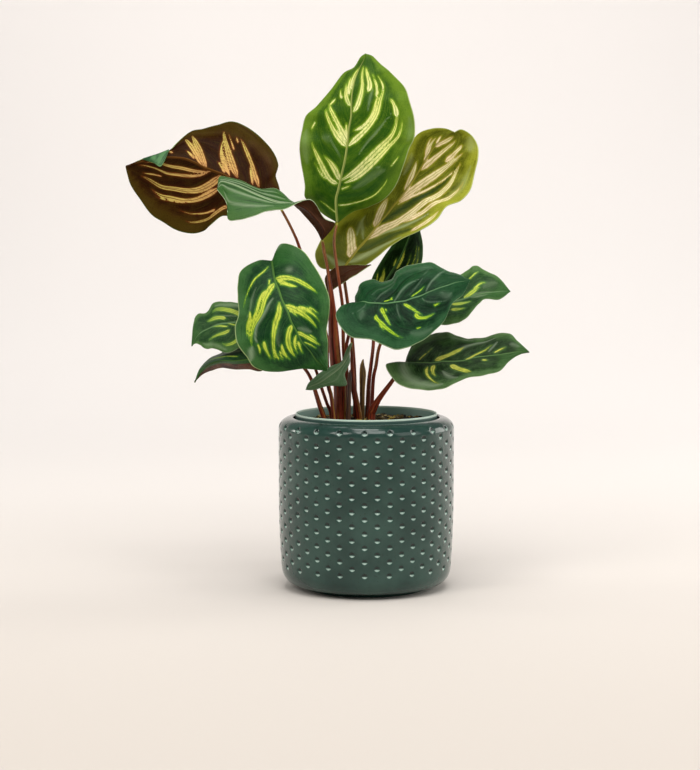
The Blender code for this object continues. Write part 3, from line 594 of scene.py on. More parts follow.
LEFT = BladeForm(
    rows=(
        ((-73, -35, 264), (-74, -35, 263), (-75, -35, 263)),
        ((-66, -33, 276), (-73, -40, 259.5), (-85, -35, 263)),
        ((-51, -38.5, 272), (-71, -48, 248), (-97, -38.5, 256)),
        ((-42, -41.5, 261), (-68, -54, 241), (-100, -42, 245)),
        ((-34, -46, 248), (-65, -59, 233), (-100, -45, 234)),
        ((-29, -48.5, 235), (-61, -63, 225), (-99, -50, 222)),
        ((-29, -52.5, 223), (-58, -65, 217), (-102, -50.5, 212)),
        ((-31, -53, 210), (-54, -66, 210), (-100, -54.5, 200)),
        ((-30, -54, 201), (-50, -65, 202), (-93, -56.5, 190)),
        ((-30, -52.5, 192), (-44, -62.5, 195), (-86, -56.5, 181)),
        ((-30, -51.5, 186), (-39, -57.5, 187), (-69, -56, 178)),
        ((-30, -50, 181), (-34, -53, 182), (-50, -54, 180)),
    ),
    tip=(-31, -49, 178),
    stem=((-24, -11, 118, 1.7), (-27.5, -10, 152, 1.6), (-30, -9, 163, 1.6),
          (-31, -9, 182, 1.5), (-32, -10, 204, 1.5), (-40, -14, 227, 1.4),
          (-54, -20, 247, 1.3), (-66, -27, 260, 1.2)),
    slot=Slot.GREEN, upper=GREEN_UPPER, under=MAROON_UNDER,
    streaks=(
        (-0.07, 0.17, -0.47, 0.275, -0.77, 0.38, 5, 2),
        (-0.09, 0.19, -0.24, 0.26, -0.42, 0.305, 4.2, 1),
        (-0.1, 0.225, -0.14, 0.24, -0.18, 0.258, 1.3, 1),
        (-0.26, 0.42, -0.47, 0.457, -0.75, 0.535, 3.6, 1),
        (-0.02, 0.375, -0.31, 0.462, -0.67, 0.565, 5, 2),
        (-0.5, 0.44, -0.6, 0.46, -0.7, 0.485, 1.5, 1),
        (-0.05, 0.42, -0.11, 0.44, -0.18, 0.468, 1.5, 1),
        (-0.02, 0.595, -0.3, 0.628, -0.65, 0.685, 3.8, 2),
        (-0.4, 0.61, -0.5, 0.625, -0.58, 0.648, 1.3, 1),
        (-0.1, 0.67, -0.26, 0.685, -0.44, 0.708, 1.3, 1),
        (0.25, 0.11, 0.62, 0.235, 0.88, 0.38, 1.6, 1), (0.16, 0.18, 0.18, 0.2, 0.22, 0.23, 1.7, 1),
        (0.07, 0.205, 0.47, 0.385, 0.79, 0.61, 5.4, 2), (0.32, 0.275, 0.6, 0.4, 0.78, 0.57, 4, 1),
        (0.76, 0.415, 0.76, 0.48, 0.81, 0.555, 3, 1), (0.69, 0.61, 0.71, 0.64, 0.76, 0.67, 2.2, 1),
        (0.1, 0.36, 0.31, 0.53, 0.6, 0.73, 5.2, 2), (0.57, 0.605, 0.62, 0.655, 0.64, 0.72, 3.2, 1),
        (0.5, 0.66, 0.52, 0.7, 0.53, 0.74, 3, 1), (0.42, 0.685, 0.45, 0.71, 0.48, 0.745, 1.6, 1),
        (0.03, 0.535, 0.2, 0.635, 0.28, 0.755, 5.2, 2),
        (0.33, 0.65, 0.38, 0.7, 0.39, 0.76, 3.2, 1), (0.04, 0.615, 0.13, 0.67, 0.2, 0.735, 2.8, 1),
        (0.05, 0.66, 0.09, 0.7, 0.13, 0.75, 2.4, 1),
    ),
    pale=(
        (0.55, 0.27, 0.7, 0.36, 0.82, 0.46, 1.8, 0.4),
        (0.2, 0.33, 0.55, 0.47, 0.7, 0.62, 2.8, 0.75), (0.8, 0.62, 0.9, 0.66, 0.97, 0.7, 5, 0.75),
        (0.25, 0.49, 0.32, 0.57, 0.38, 0.65, 5, 0.22),
        (-0.4, 0.19, -0.45, 0.2, -0.5, 0.21, 5, 0.4),
        (-0.1, 0.56, -0.3, 0.575, -0.5, 0.59, 4, 0.35),
        (-0.9, 0.03, -0.95, 0.06, -0.97, 0.09, 3, 0.6),
    ),
    belly=3.0, ripple=1.0, waves=5, folds=5.2, valley=0.39, seed=11.0)
RIGHT = BladeForm(
    rows=(
        ((-9, -25, 229), (-9, -26, 228), (-10, -27, 227)),
        ((-9, -21, 234), (-6, -32, 230), (-14, -34, 229)),
        ((-7, -18, 239), (-2, -36, 231), (-20, -39, 228)),
        ((-5, -16, 244), (2, -38.5, 230), (-24, -46, 221)),
        ((4, -11, 247), (10, -41, 230), (-20, -52, 212)),
        ((12, -13, 246), (16, -43, 230), (-11, -57, 205)),
        ((20, -12, 248), (23, -44, 231), (1, -59, 203)),
        ((25, -8, 254), (29, -45, 232), (11, -62, 200)),
        ((34, -6, 259), (35, -45, 234), (22, -61.5, 196)),
        ((43, -10, 260), (42, -44.5, 236), (32, -62.5, 197)),
        ((52, -9, 260), (48, -44, 239), (42, -59, 202)),
        ((61, -14, 256), (56, -42, 242), (52, -57, 210)),
        ((68, -17, 253), (63, -39.5, 244), (60, -51, 217)),
        ((74, -22, 251), (69, -36.5, 246), (66, -46, 230)),
        ((78, -27, 249), (76, -32.5, 247), (75, -38, 237)),
    ),
    tip=(81, -30, 248),
    stem=((-13.5, -6, 118, 1.6), (-15, -6, 163, 1.5), (-16, -5, 190, 1.4),
          (-14, -9, 203, 1.3), (-11, -20, 219, 1.2)),
    slot=Slot.DARK, upper=DARK_UPPER, under=MAROON_UNDER,
    streaks=(
        (0.16, 0.335, 0.4, 0.4, 0.6, 0.47, 3.6, 2), (0.41, 0.352, 0.62, 0.42, 0.8, 0.555, 4, 2),
        (0.58, 0.395, 0.67, 0.42, 0.75, 0.452, 1.4, 1),
        (0.2, 0.365, 0.25, 0.38, 0.32, 0.395, 1.2, 1),
        (0.11, 0.49, 0.25, 0.565, 0.47, 0.65, 3.2, 2), (0.39, 0.6, 0.54, 0.65, 0.6, 0.72, 3.6, 2),
        (0.4, 0.715, 0.42, 0.73, 0.42, 0.75, 1.8, 1), (0.7, 0.63, 0.71, 0.64, 0.72, 0.655, 1.6, 1),
        (-0.05, 0.535, -0.12, 0.585, -0.21, 0.63, 1.7, 1),
        (-0.12, 0.365, -0.15, 0.37, -0.18, 0.375, 1.6, 1),
        (-0.08, 0.31, -0.1, 0.34, -0.1, 0.375, 1.4, 1),
    ),
    pale=(
        (-0.03, 0.385, -0.32, 0.49, -0.45, 0.63, 2, 0.65),
        (-0.05, 0.645, -0.45, 0.7, -0.93, 0.745, 1.8, 0.75),
        (-0.06, 0.24, -0.4, 0.33, -0.75, 0.46, 1, 0.5),
        (-0.3, 0.24, -0.6, 0.34, -0.85, 0.5, 1, 0.4),
        (-0.1, 0.52, -0.4, 0.6, -0.75, 0.66, 1, 0.45),
        (-0.08, 0.3, -0.35, 0.4, -0.62, 0.55, 2.4, -0.8),
        (-0.06, 0.44, -0.3, 0.54, -0.55, 0.64, 2.6, -0.8),
        (-0.2, 0.18, -0.5, 0.25, -0.8, 0.38, 2, -0.6), (0.1, 0.2, 0.32, 0.24, 0.6, 0.24, 1, 0.4),
        (0.1, 0.28, 0.35, 0.33, 0.6, 0.38, 2.4, -0.7),
        (0.08, 0.42, 0.3, 0.475, 0.55, 0.54, 1, 0.45),
        (0.08, 0.62, 0.28, 0.69, 0.45, 0.79, 1, 0.45),
        (0.1, 0.45, 0.35, 0.52, 0.6, 0.6, 2.4, -0.8),
        (0.3, 0.66, 0.45, 0.72, 0.55, 0.8, 2.4, -0.7), (0.4, 0.26, 0.5, 0.28, 0.6, 0.3, 5, 0.3),
        (0.15, 0.76, 0.3, 0.79, 0.4, 0.84, 7, 0.3), (-0.75, 0.5, -0.8, 0.6, -0.78, 0.68, 6, 0.2),
        (0.75, 0.6, 0.85, 0.66, 0.9, 0.72, 5, 0.3),
    ),
    belly=2.5, ripple=1.0, waves=5, folds=5.0, valley=0.28, seed=13.0)
FAR_RIGHT = BladeForm(
    rows=(
        ((43, 4, 227), (43, 4, 226), (43, 4, 224)),
        ((50, 14, 236), (52, 3, 226), (48, -4, 218)),
        ((61, 18, 244), (63, 3, 228), (59, -8, 211)),
        ((73, 20, 249), (74, 3, 230), (71, -9, 213)),
        ((82, 20, 254), (84, 3, 233), (80, -8, 217)),
        ((89, 20, 257), (92, 3.5, 235), (87, -6, 226)),
        ((98, 17, 252), (99, 4, 236), (94, -3, 231)),
        ((107, 13, 247), (107, 5, 237), (106, 1, 231)),
    ),
    tip=(115, 6, 237),
    stem=((4, 14, 118, 1.7), (5.5, 15, 162, 1.5), (8, 15, 177, 1.4), (11, 14, 193, 1.3),
          (19, 12, 206, 1.2), (33.5, 8, 219, 1.1)),
    slot=Slot.DARK, upper=GREY_UPPER, under=MAROON_UNDER,
    streaks=(
        (-0.62, 0.5, -0.68, 0.56, -0.76, 0.63, 2.4, 1), (-0.2, 0.53, -0.3, 0.6, -0.4, 0.7, 2.6, 1),
        (-0.03, 0.43, -0.12, 0.5, -0.22, 0.61, 4.4, 2), (0.14, 0.32, 0.2, 0.4, 0.26, 0.5, 3.6, 2),
        (0.38, 0.32, 0.44, 0.38, 0.5, 0.45, 2.8, 2),
    ),
    pale=(
        (-0.05, 0.5, -0.03, 0.65, -0.03, 0.8, 1.4, 0.6), (0.05, 0.5, 0.2, 0.62, 0.4, 0.74, 3, 0.5),
        (-0.2, 0.66, -0.4, 0.76, -0.5, 0.84, 6, 0.25),
    ),
    belly=1.5, ripple=0.8, waves=4, folds=5.0, valley=0.4, quilt=0.5, detail=0.6,
    seed=15.0)
LOWER_RIGHT = BladeForm(
    rows=(
        ((30, -15, 180), (29.5, -16, 179.5), (29, -17, 179)),
        ((32, -11, 186), (34, -20, 182), (26, -23, 182)),
        ((34, -5, 191), (38, -22, 182), (19, -27, 183)),
        ((37, 0, 195), (44, -23, 182), (15, -32, 180)),
        ((46, 5, 201), (52, -23, 182), (20, -36, 172)),
        ((55, 8, 204), (60, -22.5, 183), (29, -39, 165)),
        ((64, 7, 204), (69, -22, 183), (42, -39.5, 162)),
        ((74, 9, 201), (78, -20.5, 184), (55, -38, 163)),
        ((84, 6, 200), (86, -19.5, 186), (67, -36.5, 166)),
        ((96, 5.5, 200), (95, -18, 187), (80, -32, 171)),
        ((105, 4, 204), (104, -16.5, 188), (94, -30, 174)),
        ((114, 0, 204), (112, -15, 189), (105, -26, 176)),
        ((120, -4.5, 198), (118, -14.3, 190), (112, -22, 183)),
        ((125, -8.5, 194), (124, -13, 190), (120, -17, 188)),
    ),
    tip=(129, -12, 190),
    stem=((3, -7, 118, 3.4), (4, -7, 139, 3.4), (5.5, -8, 144, 3.2), (10.5, -10, 153, 2.2),
          (20.5, -13, 167, 1.6), (26, -14.5, 176, 1.3)),
    slot=Slot.DARK, upper=LOW_UPPER, under=MAROON_UNDER,
    streaks=(
        (-0.08, 0.315, -0.2, 0.41, -0.44, 0.51, 5, 3),
        (-0.03, 0.505, -0.15, 0.59, -0.45, 0.67, 2.6, 2),
        (-0.1, 0.69, -0.17, 0.72, -0.26, 0.76, 1.6, 1),
        (-0.15, 0.2, -0.3, 0.25, -0.45, 0.31, 1.1, 1), (0.28, 0.33, 0.6, 0.4, 0.82, 0.485, 2.8, 1),
        (0.2, 0.35, 0.4, 0.385, 0.57, 0.43, 3.8, 2), (0.2, 0.45, 0.44, 0.54, 0.74, 0.63, 5.2, 3),
        (0.22, 0.64, 0.25, 0.655, 0.28, 0.67, 1.6, 1),
    ),
    pale=(
        (-0.25, 0.45, -0.55, 0.56, -0.75, 0.7, 3.6, 0.65),
        (-0.15, 0.65, -0.35, 0.68, -0.55, 0.71, 1.8, 0.6),
        (0.4, 0.18, 0.75, 0.32, 0.85, 0.5, 8, 0.5), (0.4, 0.44, 0.6, 0.5, 0.78, 0.57, 4, 0.45),
        (-0.4, 0.8, -0.5, 0.84, -0.5, 0.88, 5, 0.3),
    ),
    belly=2.0, ripple=1.0, waves=5, folds=4.6, valley=0.27, seed=17.0)
BEHIND = BladeForm(
    rows=(
        ((4, 48, 227.5), (5, 48, 227.5), (6, 48, 227)),
        ((3, 50, 233), (9, 49, 233), (16, 51, 230)),
        ((3, 52, 240), (14, 50, 240), (26, 54, 234)),
        ((7, 55, 250), (21, 52, 251), (39, 58, 244)),
        ((14, 58, 262), (28, 54, 262), (46, 61, 258)),
        ((22, 60, 273), (33, 56, 273), (47, 62, 271)),
        ((29, 61, 282), (37, 58, 283), (45, 62, 283)),
    ),
    tip=(42, 60, 294),
    stem=((0.5, 9, 118, 2), (2, 12, 160, 1.7), (4, 18, 177, 1.5), (6, 28, 194, 1.4),
          (5.5, 38, 208, 1.3)),
    slot=Slot.DARK, upper=DEEP_UPPER, under=MAROON_UNDER,
    streaks=(
        (-0.5, 0.22, -0.6, 0.32, -0.8, 0.43, 2.2, 1),
        (-0.05, 0.25, -0.3, 0.36, -0.58, 0.47, 3.2, 2),
        (-0.1, 0.49, -0.15, 0.53, -0.2, 0.57, 1.6, 1), (0.12, 0.47, 0.1, 0.57, 0, 0.68, 2, 2),
        (0.52, 0.4, 0.6, 0.47, 0.68, 0.55, 3.2, 2), (0.3, 0.15, 0.42, 0.38, 0.4, 0.62, 1.2, 1),
        (0.45, 0.2, 0.6, 0.45, 0.62, 0.7, 1.2, 1), (0.62, 0.2, 0.78, 0.45, 0.75, 0.7, 1, 1),
        (-0.4, 0.2, -0.42, 0.35, -0.5, 0.46, 1.6, 1),
    ),
    pale=(
        (0, 0.2, 0.03, 0.5, 0, 0.9, 1.6, 0.4), (0.7, 0.4, 0.75, 0.55, 0.6, 0.75, 2.5, 0.3),
    ),
    belly=1.5, ripple=0.8, waves=4, folds=5.0, quilt=0.4, detail=0.6,
    seed=19.0)
UNDER = BladeForm(
    rows=(
        ((-29.4, 3.2, 236), (-30, 4, 236), (-30.6, 4.8, 236)),
        ((-24, 3, 240), (-27, 5, 244), (-33, 6, 248)),
        ((-15, 2, 246), (-19, 5, 250), (-25, 7, 256)),
        ((-7, 2, 251), (-9, 5, 255), (-13, 7, 258)),
    ),
    tip=(4, 4, 258),
    stem=((-22, 15, 118, 1.4), (-22.5, 14, 161, 1.3), (-26, 12, 194, 1.2), (-29, 8, 222, 1.1)),
    slot=Slot.MAROON, upper=GREEN_UPPER, under=DARK_UNDER,
    belly=0.6, ripple=0.4, waves=3, folds=4.0, quilt=0.2, detail=0.6,
    seed=21.0)
FAR_LEFT = BladeForm(
    rows=(
        ((-82, -22, 213), (-82, -22, 214), (-82, -22, 216)),
        ((-90, -30, 202), (-90, -22, 214), (-90, -14, 224)),
        ((-99, -33, 195), (-99, -23, 215), (-100, -12, 228)),
        ((-108, -34, 191), (-108, -24, 214), (-110, -12, 230)),
        ((-118, -34, 194), (-116, -26, 213), (-120, -14, 229)),
        ((-125, -34.5, 194), (-123, -27.5, 210), (-126, -16, 222)),
        ((-130, -33.5, 197), (-129, -29, 207), (-133, -19, 220)),
        ((-134, -33, 198), (-133, -30.5, 203), (-136, -25, 213)),
    ),
    tip=(-137, -32, 196),
    stem=((-27.5, -4.5, 118, 1.5), (-28, -5, 139, 1.4), (-31.5, -6, 149, 1.3),
          (-35.5, -8, 161, 1.3), (-39.5, -10, 174, 1.2), (-46, -13, 191, 1.2),
          (-58.5, -18, 207, 1.1), (-71, -21, 213, 1.1)),
    slot=Slot.GREEN, upper=GREY_UPPER, under=MAROON_UNDER,
    streaks=(
        (0.1, 0.17, 0.52, 0.34, 0.62, 0.54, 5.8, 3), (0.2, 0.42, 0.27, 0.51, 0.38, 0.63, 4.2, 2),
        (-0.02, 0.39, -0.12, 0.31, -0.3, 0.2, 1.5, 1),
        (-0.14, 0.39, -0.1, 0.48, -0.02, 0.58, 1.8, 1),
        (-0.27, 0.37, -0.42, 0.46, -0.62, 0.59, 2.8, 2),
        (-0.6, 0.19, -0.72, 0.31, -0.75, 0.43, 4, 2),
    ),
    pale=(
        (0.8, 0.2, 0.82, 0.35, 0.8, 0.5, 4, 0.6), (0.25, 0.3, 0.3, 0.4, 0.3, 0.5, 1.2, 0.5),
        (-0.9, 0.4, -0.85, 0.55, -0.8, 0.7, 3, 0.4),
    ),
    belly=1.5, ripple=0.8, waves=4, folds=5.0, valley=0.28, quilt=0.5, detail=0.6,
    seed=23.0)
LOWEST_LEFT = BladeForm(
    rows=(
        ((-72, -24, 186), (-72, -24, 188), (-72, -24, 189)),
        ((-82, -24, 176), (-82, -31, 187), (-82, -20, 197)),
        ((-92, -24, 177), (-93, -36, 186), (-94, -14, 201)),
        ((-103, -23, 177), (-103, -38, 185), (-105, -12, 197)),
        ((-114, -23, 178), (-114, -38, 185), (-114, -14, 190)),
        ((-122, -23, 176), (-123, -36, 182), (-123, -18, 186)),
        ((-129, -26, 173), (-130, -31, 176), (-131, -27, 178)),
    ),
    tip=(-135, -29, 167),
    stem=((-32, -8, 118, 2.2), (-33.5, -9, 136, 2.1), (-37.5, -11, 149, 1.9),
          (-43.5, -14, 168, 1.4), (-49.5, -17, 178, 1.3), (-58.5, -20, 186, 1.2)),
    slot=Slot.GREEN, upper=GREEN_UPPER, under=DARK_UNDER,
    streaks=(
        (0.2, 0.4, 0.35, 0.55, 0.5, 0.7, 1.6, 1),
    ),
    pale=(
        (0.4, 0.3, 0.5, 0.5, 0.5, 0.8, 3, 0.4),
    ),
    belly=1.0, ripple=0.3, waves=4, folds=5.0, quilt=0.3, detail=0.6, turned=0.3,
    seed=25.0)
YOUNG = BladeForm(
    rows=(
        ((-11, -15, 197), (-12, -15, 197), (-13, -15, 197)),
        ((-13, -17, 190), (-14, -18, 190), (-16, -17, 192)),
        ((-13, -19, 182), (-17, -22, 184), (-20, -20, 183)),
        ((-17, -20, 173), (-22, -25, 178), (-27, -22, 180)),
        ((-16, -20, 164), (-30, -27, 172), (-36, -23, 175)),
        ((-30, -24, 164), (-37, -27, 167), (-42, -24, 170)),
        ((-41, -25, 161), (-44, -26, 164), (-46, -24, 166)),
    ),
    tip=(-48, -25, 161),
    stem=((-5, -1, 118, 2.7), (-6, -2, 138, 2.7), (-10, -6, 161, 2.2), (-11, -8, 177, 1.6),
          (-11.5, -9, 188, 1.2), (-12, -10, 195, 1.0)),
    slot=Slot.GREEN, upper=YOUNG_UPPER, under=DARK_UNDER,
    pale=(
        (0, 0.1, 0.02, 0.5, 0, 0.9, 1.2, 0.5), (0.4, 0.2, 0.4, 0.5, 0.4, 0.8, 1.2, 0.3),
        (-0.4, 0.2, -0.4, 0.5, -0.4, 0.8, 1.2, 0.3),
    ),
    belly=0.8, ripple=0.4, waves=3, folds=5.0, quilt=0.3, detail=0.6,
    seed=27.0)
LEAVES = {
    "top": TOP, "upper_left": UPPER_LEFT, "twisted": TWISTED, "upper_right": UPPER_RIGHT,
    "left": LEFT, "right": RIGHT, "far_right": FAR_RIGHT, "lower_right": LOWER_RIGHT,
    "behind": BEHIND, "under": UNDER, "far_left": FAR_LEFT, "lowest_left": LOWEST_LEFT,
    "young": YOUNG,
}


# Geometry helpers


def smooth_line(points: np.ndarray, places: np.ndarray) -> np.ndarray:
    """Draw a Catmull-Rom curve through points.

    Args:
        points: the points that it passes, one a row.
        places: the places wanted, 0 at the first point and 1 at the last.

    Returns:
        The curve's point at each place.
    """
    spans = len(points) - 1
    span = np.clip((places * spans).astype(int), 0, spans - 1)
    part = (places * spans - span)[..., None]
    before = points[np.maximum(span - 1, 0)]
    start = points[span]
    end = points[span + 1]
    after = points[np.minimum(span + 2, spans)]
    return 0.5 * (
        2.0 * start
        + (end - before) * part
        + (2.0 * before - 5.0 * start + 4.0 * end - after) * part ** 2
        + (3.0 * start - before - 3.0 * end + after) * part ** 3)


def unit(vectors: np.ndarray) -> np.ndarray:
    """Scale vectors to length 1."""
    return vectors / np.maximum(np.linalg.norm(vectors, axis=-1, keepdims=True), 1e-9)


def grid(columns: int, rows: int) -> tuple[bmesh.types.BMesh, np.ndarray, np.ndarray]:
    """Start a flat grid.

    Args:
        columns: faces across.
        rows: faces along.

    Returns:
        The mesh, and each vertex's place across and along, from 0 to 1.
    """
    shape = bmesh.new()
    bmesh.ops.create_grid(shape, x_segments=columns, y_segments=rows, size=0.5)
    flat = np.array([vertex.co[:2] for vertex in shape.verts])
    return shape, flat[:, 0] + 0.5, flat[:, 1] + 0.5


def join_seams(shape: bmesh.types.BMesh) -> None:
    """Merge the vertices that meet at seams and poles, and turn the faces outwards."""
    bmesh.ops.remove_doubles(shape, verts=shape.verts, dist=MERGE * MM)
    bmesh.ops.recalc_face_normals(shape, faces=shape.faces)


def turned(profile: list[tuple[float, float]], steps: int) -> tuple[bmesh.types.BMesh, np.ndarray]:
    """Spin a profile of (radius, height) once round the Z axis.

    Args:
        profile: its points.
        steps: faces around.

    Returns:
        The mesh in metres, and its vertices in millimetres.
    """
    shape = bmesh.new()
    line = [shape.verts.new((radius * MM, 0.0, height * MM)) for radius, height in profile]
    edges = [shape.edges.new(pair) for pair in zip(line, line[1:])]
    bmesh.ops.spin(shape, geom=line + edges, cent=(0, 0, 0), axis=(0, 0, 1), angle=FULL_TURN,
                   steps=steps, use_merge=True)
    join_seams(shape)
    return shape, np.array([vertex.co for vertex in shape.verts]) / MM


def write_maps(shape: bmesh.types.BMesh, maps: dict[str, np.ndarray]) -> None:
    """Write UV maps.

    Args:
        shape: the mesh.
        maps: the maps' names, each with a pair of numbers for every vertex.
    """
    shape.verts.index_update()
    for name, pairs in maps.items():
        layer = shape.loops.layers.uv.new(name)
        for face in shape.faces:
            for loop in face.loops:
                loop[layer].uv = pairs[loop.vert.index]


def place_vertices(shape: bmesh.types.BMesh, points: np.ndarray) -> None:
    """Move every vertex to its point, given in millimetres."""
    for vertex, point in zip(shape.verts, points):
        vertex.co = point * MM


def new_object(name: str, shape: bmesh.types.BMesh, smooth: bool = True) -> bpy.types.Object:
    """Turn a finished mesh into an object in the scene.

    Args:
        name: the object's name.
        shape: its mesh, in metres, which is freed.
        smooth: whether its faces are shaded smooth.

    Returns:
        The new object.
    """
    for face in shape.faces:
        face.smooth = smooth
    mesh = bpy.data.meshes.new(name)
    shape.to_mesh(mesh)
    shape.free()
    made = bpy.data.objects.new(name, mesh)
    bpy.context.scene.collection.objects.link(made)
    return made


def close_piece(name: str, shape: bmesh.types.BMesh, materials: list[bpy.types.Material],
                slot: Slot, nodes: tuple[str, ...] = (), smooth: bool = True) -> bpy.types.Object:
    """Turn a finished mesh into a piece of the object.

    Args:
        name: the piece's name.
        shape: its mesh, in metres, which is freed.
        materials: its materials in order.
        slot: the record's slot for the piece; not used.
        nodes: the CAD nodes that it stands for.
        smooth: whether its faces are shaded smooth.

    Returns:
        The new object.
    """
    piece = new_object(name, shape, smooth)
    for material in materials:
        piece.data.materials.append(material)
    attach(piece, "root")
    if nodes:
        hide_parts(*nodes)
    LOG.info("%s: %d faces", name, len(piece.data.polygons))
    return piece


@dataclass
class Rod:
    """A round rod with domed ends, swept along a curve of (x, y, z, radius)."""

    name: str
    path: np.ndarray
    ridges: float
    rows: int = 90
    sides: int = 20

    def build(self, material: bpy.types.Material, slot: Slot, node: str) -> bpy.types.Object:
        """Model the rod, whose ridges stand out by a share of its radius.

        Args:
            material: its material, which reads the map Rod (around, along).
            slot: the record's slot.
            node: the CAD node that it stands for.

        Returns:
            The new object.
        """
        shape, around, along = grid(self.sides, self.rows)
        spine = self.path[:, :3]
        step = 0.01
        ahead = unit(smooth_line(spine, np.minimum(along + step, 1.0))
                     - smooth_line(spine, np.maximum(along - step, 0.0)))
        aside = unit(np.cross(ahead, np.array([0.0, 1.0, 0.05])))
        over = np.cross(aside, ahead)
        radius = smooth_line(self.path[:, 3:], along)[:, 0]
        dome = np.clip(np.minimum(along, 1.0 - along) * self.rows / 3.0, 0.0, 1.0)
        angle = FULL_TURN * around
        ridge = 1.0 + self.ridges * np.cos(5.0 * angle)
        radius = radius * np.sqrt(1.0 - (1.0 - dome) ** 2) * ridge
        place_vertices(shape, smooth_line(spine, along) + aside * (np.cos(angle) * radius)[:, None]
                       + over * (np.sin(angle) * radius)[:, None])
        write_maps(shape, {"Rod": np.stack([around, along], axis=1)})
        join_seams(shape)
        return close_piece(self.name, shape, [material], slot, (node,))


# Leaves


def vein_number(side: np.ndarray | Value, along: np.ndarray | Value) -> np.ndarray | Value:
    """Return where the lateral vein through a point leaves the midrib, from 0 to 1.

    Args:
        side: 0 on the midrib, 1 at the margin.
        along: 0 at the base, 1 at the tip.

    Returns:
        The vein's place on the midrib.
    """
    return (along - side * 0.1 - side ** 4.6 * 0.6) / (side * 0.7 + 1.0)


class LeafSkin:
    """Draws one face of a leaf.

    The blade's maps are Leaf (across, along), Flat (the same in centimetres), Marks (how far
    outside the nearest streak, in centimetres, and how far along it), Strands (its strand, its
    number) and Crests (crest, painted as sheen above 0 and as fold shade below 0, and how much
    nearer that streak is than the next).
    """

    def __init__(self, name: str, form: BladeForm, look: FaceLook) -> None:
        """Read the maps and set up the noises that the parts share.

        Args:
            name: the material's name.
            form: the leaf, for its seed and its turned margin.
            look: the face's colours.
        """
        self.form = form
        self.look = look
        self.graph = graph = Graph(name)
        self.leaf_x, self.leaf_y = graph.map("Leaf")
        self.flat_x, flat_y = graph.map("Flat")
        self.outside, self.run = graph.map("Marks")
        self.strand, self.number = graph.map("Strands")
        self.crest, self.lead = graph.map("Crests")
        self.flat = graph.join(self.flat_x, flat_y, form.seed)
        self.side = abs(self.leaf_x * 2.0 - 1.0)
        self.vein = vein_number(self.side, self.leaf_y)
        self.cloud = graph.noise(self.flat, 1.3, 4.0, 0.6)
        self.shred = self.veined(6.0, 70.0, 3.0, 0.65) - 0.5
        self.teeth = self.veined(40.0, 60.0, 2.0, 0.6) - 0.5
        self.fine = self.veined(3.0, 150.0, 2.0, 0.7)
        self.lines = self.veined(2.5, 46.0, 3.0, 0.6)
        self.edge = self.outside * CM + (self.shred * 1.3 + self.teeth * 1.8) * look.ragged

    def veined(self, across: float, along: float, detail: float, rough: float) -> Value:
        """Add a noise that is drawn out along the lateral veins."""
        place = self.graph.join(self.side * across, self.vein * along, self.form.seed)
        return self.graph.noise(place, 1.0, detail, rough)

    def streaks(self) -> Value:
        """Draw the streaks, which are split into strands and cells.

        Returns:
            How strongly a point lies in a streak, from 0 to 1.
        """
        graph = self.graph
        seam = abs(self.strand - (self.strand + 0.5).floor()) + self.teeth * 0.1
        key = self.strand.floor() * 3.1 + self.number * 7.7 + self.form.seed
        far = (self.run - 0.5 - graph.chance(key) * 0.3).most(0.0)
        near = (graph.chance(key + 0.5) * 0.16 - self.run).most(0.0)
        waist = 0.07 + far * far * 2.0 + near * 2.0
        whole = (self.outside * CM).ramp(-0.2, -0.5) * (1.0 - far * 3.0).most(0.0) * 0.2
        split = (seam.ramp(waist, waist + 0.13) + whole).least(1.0) * self.lead.ramp(0.004, 0.03)
        place = graph.join(self.flat_x * 7.5, (self.strand + 0.5).floor() * 4.0 + self.number * 9.0,
                           self.run)
        cells = graph.noise(place, 1.0, 2.0, 0.6)
        return self.edge.ramp(0.14, -0.14) * split * (0.5 + 0.5 * cells.ramp(0.36, 0.54))

    def ground(self) -> Value:
        """Draw blotches, margin, veins, mottling and a darker base, partly painted shadow, over the
        leaf's own green.

        Returns:
            The colour between the streaks.
        """
        graph, look, cloud, lines = self.graph, self.look, self.cloud, self.lines
        wavy_side = self.side + (cloud - 0.5) * 0.3
        blotch = self.edge.ramp(0.2, 2.2) * (self.edge + cloud * 4.0).ramp(15.0, 8.0) \
            * wavy_side.ramp(0.9, 0.62) * (0.55 + lines.ramp(0.35, 0.6) * 0.45)
        colour = graph.mix(blotch, look.ground, look.blotch)
        colour = graph.mix(wavy_side.ramp(0.66, 0.95) * 0.8, colour, look.margin)
        pale_veins = (self.fine.ramp(0.45, 0.75) * 0.45 + (cloud - 0.5) * 0.8).most(0.0)
        colour = graph.mix(pale_veins, colour, look.margin)
        mottle = graph.noise(self.flat, 11.0, 3.0, 0.7)
        colour = graph.mix(mottle.ramp(0.5, 0.7) * 0.4, colour, look.margin)
        colour = graph.mix(mottle.ramp(0.5, 0.3) * 0.45, colour, look.blotch)
        dark_veins = lines.ramp(0.5, 0.34) * cloud.ramp(0.62, 0.4) * 0.55
        colour = graph.mix(dark_veins, colour, look.blotch)
        colour = graph.mix(lines.ramp(0.56, 0.7) * 0.4, colour, look.margin)
        # Darker base: partly the leaf's own colour, partly painted shadow
        return graph.mix(self.leaf_y.ramp(0.42, 0.12) * look.low, colour, look.blotch)

    def relief_colour(self, colour: Value) -> Value:
        """Add the painted sheen on the crests, the painted shade in the folds, the turned margin
        and the thin pale edge.

        Args:
            colour: the ground's colour.

        Returns:
            The colour with these over it.
        """
        graph, look, turned_at = self.graph, self.look, self.form.turned
        # Painted sheen on the crests, partly over pale veins
        colour = graph.mix(self.crest.most(0.0) * (0.75 + self.shred), colour, look.pale)
        # Painted shade in the dark folds
        colour = graph.mix((-self.crest).most(0.0) * (0.9 + self.shred), colour, look.fold)
        other_face = graph.mix(self.cloud.ramp(0.35, 0.65), look.turned_light, look.turned_dark)
        colour = graph.mix(self.leaf_x.ramp(turned_at, turned_at - 0.02), colour, other_face)
        return graph.mix(self.side.ramp(0.978, 0.992), colour, look.edge)

